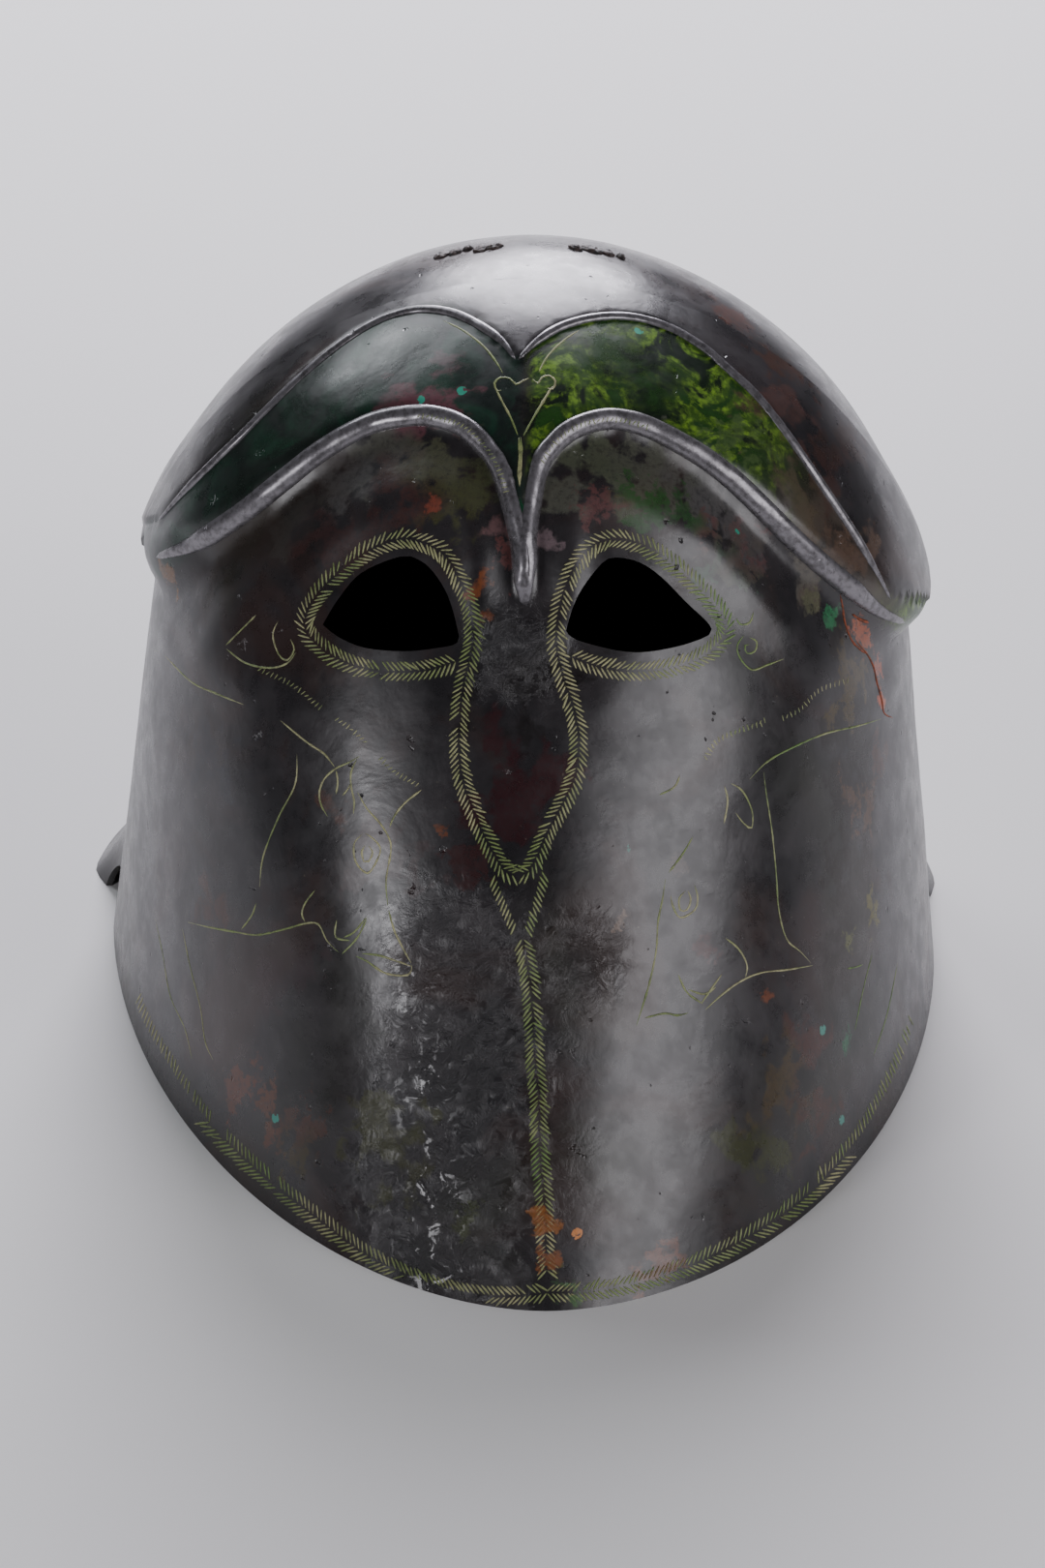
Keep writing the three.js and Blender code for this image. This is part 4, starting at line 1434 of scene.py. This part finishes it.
    def paint(self, mesh: bpy.types.Mesh, finder: Finder, lines: bool = False) -> None:
        """Paint the patches and the pitting on a piece's own vertices.

        Args:
            mesh: The piece's mesh.
            finder: What finds each patch's place on the bronze.
            lines: Whether only the patches that colour chased lines are wanted.
        """
        spots = vertex_places(mesh)
        wander = sum(share * np.sin(np.roll(spots, turn, axis=1) * count + turn) for turn, count, share in self.wander)
        # the first layer holds the broad soft patches: real blooms and crusts, and the pale painted highlight along the
        # brow folds
        for layer in ("bloom_and_painted_highlight", "crust"):
            colour = np.zeros((len(spots), 4))
            total = np.full(len(spots), 1e-9)
            depth = np.full(len(spots), self.outside)
            for patch in self.patches:
                own = "crust" if patch.grain >= CRUST_GRAIN else "bloom_and_painted_highlight"
                if own != layer or patch.radius < SPOT_RADIUS or (lines and not patch.on_lines):
                    continue
                middle = np.array(finder.place(patch.across, patch.up)[0])
                near = patch.weight(np.linalg.norm(spots + wander * patch.radius * MM - middle, axis=1))
                colour[:, :3] += near[:, None] * np.array(patch.colour)
                colour[:, 3] += near * patch.strength
                total += near
                own_depth = self.fall * (near - 1) + self.fill * patch.cover
                depth = np.maximum(depth, np.where(near > 0, own_depth, self.outside))
            colour /= total[:, None]
            write_marks(mesh, layer, colour)
            write_marks(mesh, f"{layer}_depth", depth)
        pitting = np.zeros(len(spots))
        for across, up, radius in self.pitted:
            middle = np.array(finder.place(across, up)[0])
            distance = np.linalg.norm(spots - middle, axis=1)
            pitting = np.maximum(pitting, np.exp(-((distance / (radius * MM)) ** 2)))
        write_marks(mesh, "pitting", pitting)

    def stains(self, shader: Shader, finder: Finder, colour: object, lines: bool) -> object:
        """Lay the painted patches and the small spots over a colour.

        Args:
            shader: The material's nodes.
            finder: What finds each spot's place on the bronze.
            colour: The colour below.
            lines: Whether only the patches that colour chased lines are wanted.

        Returns:
            The colour with the patches.
        """
        fine = shader.ease(shader.noise(800.0, 3.0, 0.7), 0.30, 0.55, 0.45, 1.0)
        torn = shader.ease(shader.noise(520.0, 4.0, 0.6, 0.4), 0.30, 0.62)
        # the first layer carries real blooms and crusts and also the pale painted highlight along the brow folds
        for layer, grain, sharp in (("bloom_and_painted_highlight", 150.0, 0.36), ("crust", 430.0, 0.26)):
            ragged = shader.times(shader.reckon("SUBTRACT", shader.noise(grain, 6.0, 0.66, 0.35), 0.5), 4.6)
            depth = shader.reckon("ADD", shader.attribute(f"{layer}_depth"), ragged)
            mask = shader.times(shader.ease(depth, -sharp, sharp), shader.attribute(layer, "Alpha"))
            mask = shader.times(mask, fine)
            colour = shader.blend(mask, colour, shader.attribute(layer, "Color"))
        if lines:
            return colour
        for patch in self.patches:
            if patch.radius < SPOT_RADIUS:
                near = shader.near(finder.place(patch.across, patch.up)[0], patch.radius * MM)
                mask = shader.ease(shader.times(near, torn), 0.34, 0.52)
                colour = shader.blend(shader.times(mask, patch.strength), colour, rgb(*patch.colour))
        return colour

    def bands(self, shader: Shader, finder: Finder, colour: object, mottle: object) -> object:
        """Colour the bands between the brow ribs and the crown: leaf green on the right, forest green on the left.

        Args:
            shader: The material's nodes.
            finder: What finds where the leaf green runs out.
            colour: The colour below.
            mottle: The noise that the bronze's own browns follow.

        Returns:
            The colour with the bands.
        """
        veins = shader.noise(62.0, 7.0, 0.6, 1.6)
        clumps = shader.noise(26.0, 3.0, 0.5)
        ridge = shader.reckon("ABSOLUTE", shader.reckon("SUBTRACT", veins, 0.5), 0.0)
        bright = shader.times(shader.ease(ridge, 0.10, 0.0), shader.ease(clumps, 0.30, 0.50))
        speckle = shader.ease(shader.noise(330.0, 5.0, 0.7), 0.42, 0.66)
        leaf = shader.blend(shader.ease(veins, 0.40, 0.72), rgb(0.0025, 0.011, 0.0030), rgb(0.014, 0.060, 0.006))
        leaf = shader.blend(shader.times(bright, speckle), leaf, rgb(0.22, 0.38, 0.035))
        leaf = shader.blend(shader.times(bright, 0.4), leaf, rgb(0.08, 0.18, 0.012))
        fade = finder.place(82.0, 194.0)[0]
        rust = shader.blend(shader.ease(mottle, 0.4, 0.62), rgb(0.026, 0.020, 0.016), rgb(0.060, 0.046, 0.034))
        leaf = shader.blend(shader.near(fade, 0.044), leaf, rust)
        colour = shader.blend(shader.times(shader.attribute("band_right"), 0.95), colour, leaf)
        forest = shader.blend(shader.ease(veins, 0.4, 0.7), rgb(0.003, 0.010, 0.007), rgb(0.004, 0.036, 0.018))
        return shader.blend(shader.times(shader.attribute("band_left"), 0.85), colour, forest)

    @staticmethod
    def relief(shader: Shader, grain: object) -> object:
        """Give the fine relief: grain everywhere, small pits, and rough pitting in the worst places.

        Args:
            shader: The material's nodes.
            grain: The finest noise.

        Returns:
            The normal.
        """
        pits = shader.ease(shader.noise(230.0, 3.0, 0.5), 0.30, 0.24)
        coarse = shader.ease(shader.noise(210.0, 6.0, 0.72, 0.7), 0.36, 0.62)
        swell = shader.noise(60.0, 4.0, 0.55, 0.4)
        normal = shader.bump(grain, 0.00004, 0.35)
        normal = shader.bump(shader.reckon("SUBTRACT", 1.0, pits), 0.0003, 0.7, normal)
        normal = shader.bump(swell, 0.0006, 0.35, normal)
        return shader.bump(shader.times(coarse, shader.attribute("pitting")), 0.0005, 0.8, normal)

    def line_colour(self, shader: Shader, cloud: object, mottle: object, grain: object) -> object:
        """Give the pale green that fills chased and engraved lines.

        Args:
            shader: The material's nodes.
            cloud: The broadest noise.
            mottle: The middle noise.
            grain: The finest noise.

        Returns:
            The colour.
        """
        pale = shader.blend(shader.ease(mottle, 0.38, 0.62), rgb(0.22, 0.29, 0.085), rgb(0.50, 0.48, 0.25))
        green = shader.blend(shader.ease(cloud, 0.5, 0.62), pale, rgb(0.16, 0.30, 0.065))
        share = shader.ease(grain, 0.30, 0.58, self.line_share * 0.45, self.line_share)
        return shader.blend(share, rgb(*self.dark), green)

    def sheet_colour(self, shader: Shader, finder: Finder, cloud: object, mottle: object) -> object:
        """Give the near-black bronze with its bands, patches and dust.

        Args:
            shader: The material's nodes.
            finder: What finds each patch's place on the bronze.
            cloud: The broadest noise.
            mottle: The middle noise.

        Returns:
            The colour.
        """
        colour = shader.blend(shader.ease(mottle, 0.36, 0.70), rgb(*self.dark), rgb(*self.brown))
        rusty = shader.noise(21.0, 6.0, 0.6, 0.8)
        colour = shader.blend(shader.ease(rusty, 0.50, 0.66, 0.0, 0.6), colour, rgb(0.036, 0.017, 0.013))
        colour = shader.blend(shader.ease(cloud, 0.50, 0.70, 0.0, 0.6), colour, rgb(0.022, 0.024, 0.014))
        colour = self.bands(shader, finder, colour, mottle)
        colour = self.stains(shader, finder, colour, False)
        specks = shader.ease(shader.noise(760.0, 3.0, 0.6), 0.71, 0.76)
        return shader.blend(shader.times(specks, 0.4), colour, rgb(0.17, 0.15, 0.11))

    def dress(self, place: Metal, finder: Finder) -> bpy.types.Material:
        """Make the finish for one kind of place.

        Args:
            place: Which part of the bronze it is for.
            finder: What finds each patch's place on the sheet.

        Returns:
            The material.
        """
        shader = Shader(f"bronze_{place.value}")
        surface = shader.surface
        cloud = shader.noise(9.0, 5.0, 0.6, 0.6)
        mottle = shader.noise(48.0, 6.0, 0.62, 0.4)
        grain = shader.noise(620.0, 5.0, 0.65)
        rough: object = 0.55 if place is Metal.SCAR else 0.5
        if place in (Metal.SHEET, Metal.RIB):
            rough = shader.ease(shader.noise(130.0, 5.0, 0.65), 0.36, 0.66, 0.26, 0.35)
        if place is Metal.SHEET:
            colour = self.sheet_colour(shader, finder, cloud, mottle)
        elif place is Metal.RIB:
            # painted highlight: the ribs' pale lilac-grey base colour stands in for the light along their crests, and
            # the metallic 0.6 makes them reflect more
            colour = shader.blend(shader.ease(grain, 0.3, 0.6), rgb(0.10, 0.095, 0.10), rgb(0.22, 0.21, 0.225))
            surface.inputs["Metallic"].default_value = 0.6
        elif place is Metal.SCAR:
            colour = shader.blend(shader.ease(grain, 0.4, 0.6), rgb(0.006, 0.005, 0.005), rgb(0.060, 0.036, 0.030))
        else:
            colour = self.stains(shader, finder, self.line_colour(shader, cloud, mottle, grain), True)
        shader.feed(surface.inputs["Base Color"], colour)
        shader.feed(surface.inputs["Roughness"], rough)
        shader.feed(surface.inputs["Normal"], self.relief(shader, grain))
        surface.inputs["IOR"].default_value = self.index
        return shader.material


@dataclass
class RustVein:
    """The bright rust that has crept out of the crease at the right temple."""

    dark: Colour = (0.10, 0.03, 0.012)
    bright: Colour = (0.30, 0.062, 0.016)
    width: float = 0.0008
    height: float = 0.00025
    veins: tuple[tuple[Point, ...], ...] = (
        ((868, 613), (871, 628), (873, 642), (880, 661), (888, 670), (897, 677)),
        ((884, 661), (897, 677), (903, 690), (906, 704), (911, 722), (914, 737), (924, 742)),
        ((880, 634), (889, 640), (899, 644)),
    )

    def build(self, finder: Finder) -> bpy.types.Object:
        """Lay the veins as thin ragged crusts.

        Args:
            finder: What finds their places on the bronze.

        Returns:
            The veins as one piece.
        """
        shader = Shader("rust")
        fine = shader.ease(shader.noise(900.0, 4.0, 0.7), 0.35, 0.6)
        shader.feed(shader.surface.inputs["Base Color"], shader.blend(fine, rgb(*self.dark), rgb(*self.bright)))
        shader.surface.inputs["Roughness"].default_value = 0.6
        engraver = Engraver(finder)
        for points in self.veins:
            engraver.line(chart(*points), self.width, self.height)
        return engraver.finish("rust_vein", shader.material)


@dataclass
class CrownScars:
    """The ragged traces on top of the crown where the crest's fixtures broke off."""

    spots: tuple[tuple[float, float, float, float], ...] = (  # across, up, length and breadth
        (-20.5, 268.0, 2.6, 1.8),
        (-17.0, 268.8, 2.2, 1.5),
        (-10.5, 269.6, 2.4, 1.7),
        (-7.0, 270.2, 2.2, 1.4),
        (-13.8, 269.6, 1.4, 1.0),
        (13.5, 269.8, 2.0, 1.3),
        (17.5, 269.4, 2.8, 1.7),
        (21.5, 268.6, 2.2, 1.4),
        (25.0, 267.6, 1.4, 1.0),
    )

    def build(self, finder: Finder, material: bpy.types.Material) -> bpy.types.Object:
        """Lay the scars as low torn crusts.

        Args:
            finder: What finds their places on the sheet.
            material: Their finish.

        Returns:
            The scars as one piece.
        """
        bm = bmesh.new()
        for across, up, length, breadth in self.spots:
            found = finder.place(across, up)
            if found is None:
                continue
            spot, normal = found
            turn = normal.to_track_quat("Z", "Y").to_matrix().to_4x4()
            made = bmesh.ops.create_icosphere(bm, subdivisions=4, radius=1.0)["verts"]
            for vert in made:
                ragged = 1 + 0.35 * noise.noise(vert.co * 2.3 + Vector((across, up, 0)))
                rough = 0.5 + 0.5 * noise.noise(vert.co * 5.1 + Vector((up, across, 1)))
                shape = Vector((length * ragged, breadth * ragged, 0.7 + 0.9 * rough)) * vert.co
                vert.co = spot + turn @ (shape * MM)
        return new_piece("crest_scars", to_mesh(bm, "crest_scars"), material)


@dataclass(frozen=True)
class Lamp:
    """One soft box of the studio, aimed at the helmet."""

    name: str
    azimuth: float
    elevation: float
    distance: float
    width: float
    height: float
    power: float
    colour: Colour


@dataclass
class Studio:
    """A pale floor and soft boxes placed where the bronze mirrors them."""

    floor_size: float = 14.0
    floor_colour: Colour = (0.80, 0.795, 0.79)
    room_grey: Colour = (0.055, 0.055, 0.06)
    aim: Vector = field(default_factory=lambda: Vector((0, 0, 0.11)))
    lamps: tuple[Lamp, ...] = (
        Lamp("behind_the_crown", 179.0, 31.0, 1.8, 0.95, 1.3, 54.0, (0.93, 0.91, 1.0)),
        Lamp("over_the_left", -143.0, 40.0, 1.6, 0.62, 0.45, 6.0, (0.92, 0.96, 1.0)),
        Lamp("left_strip", -45.0, 16.5, 1.8, 0.5, 0.26, 8.0, (0.97, 0.96, 1.0)),
        Lamp("right_strip", 52.0, 24.0, 1.8, 1.75, 0.8, 17.0, (0.98, 0.96, 1.0)),
    )

    def build(self) -> None:
        """Lay the floor, hang the lamps and set the room's own grey."""
        bm = bmesh.new()
        bmesh.ops.create_grid(bm, x_segments=1, y_segments=1, size=self.floor_size / 2)
        floor = bpy.data.objects.new("floor", to_mesh(bm, "floor"))
        bpy.context.scene.collection.objects.link(floor)
        paint = Shader("floor_paint")
        paint.surface.inputs["Base Color"].default_value = rgb(*self.floor_colour)
        paint.surface.inputs["Roughness"].default_value = 0.85
        floor.data.materials.append(paint.material)
        world = bpy.data.worlds.new("room")
        bpy.context.scene.world = world
        world.use_nodes = True
        world.node_tree.nodes["Background"].inputs["Color"].default_value = rgb(*self.room_grey)
        for lamp in self.lamps:
            self.hang(lamp)

    def hang(self, lamp: Lamp) -> None:
        """Hang one lamp and turn it to the helmet.

        Args:
            lamp: The lamp, its azimuth counted from the front and positive to the right.
        """
        turn, tilt = math.radians(lamp.azimuth), math.radians(lamp.elevation)
        way = Vector((math.sin(turn) * math.cos(tilt), -math.cos(turn) * math.cos(tilt), math.sin(tilt)))
        data = bpy.data.lights.new(lamp.name, "AREA")
        data.shape = "ELLIPSE"
        data.size = lamp.width
        data.size_y = lamp.height
        data.energy = lamp.power
        data.color = lamp.colour
        light = bpy.data.objects.new(lamp.name, data)
        facing = way.to_track_quat("Z", "Y").to_matrix().to_4x4()
        light.matrix_world = Matrix.Translation(self.aim + way * lamp.distance) @ facing
        bpy.context.scene.collection.objects.link(light)


def corners(box: object) -> list[list[float]]:
    """Give a box's two corners as plain numbers."""
    return [[float(number) for number in corner] for corner in box]


def main() -> None:
    """Build the helmet, dress it and set up the studio."""
    logging.basicConfig(level=logging.INFO, format="%(name)s %(message)s")
    PICTURE.camera()
    patina = Patina()
    sheet = Sheet().build(bpy.data.materials.new("bronze_bare"))
    on_sheet = Finder.over([sheet])
    sheet.data.materials[0] = patina.dress(Metal.SHEET, on_sheet)
    ribs = BrowRibs().build(on_sheet, patina.dress(Metal.RIB, on_sheet))
    for piece in (sheet, *ribs):
        patina.paint(piece.data, on_sheet)
    raised = Finder.over([sheet, *ribs])
    borders = ChasedBorders().build(raised, patina.dress(Metal.CHASED, on_sheet))
    motifs = Engravings().build(raised, patina.dress(Metal.ENGRAVED, on_sheet))
    for piece in (*borders, *motifs):
        patina.paint(piece.data, on_sheet, lines=True)
    RustVein().build(raised)
    CrownScars().build(on_sheet, patina.dress(Metal.SCAR, on_sheet))
    Studio().build()
    bpy.context.view_layer.update()


if __name__ == "__main__":
    main()
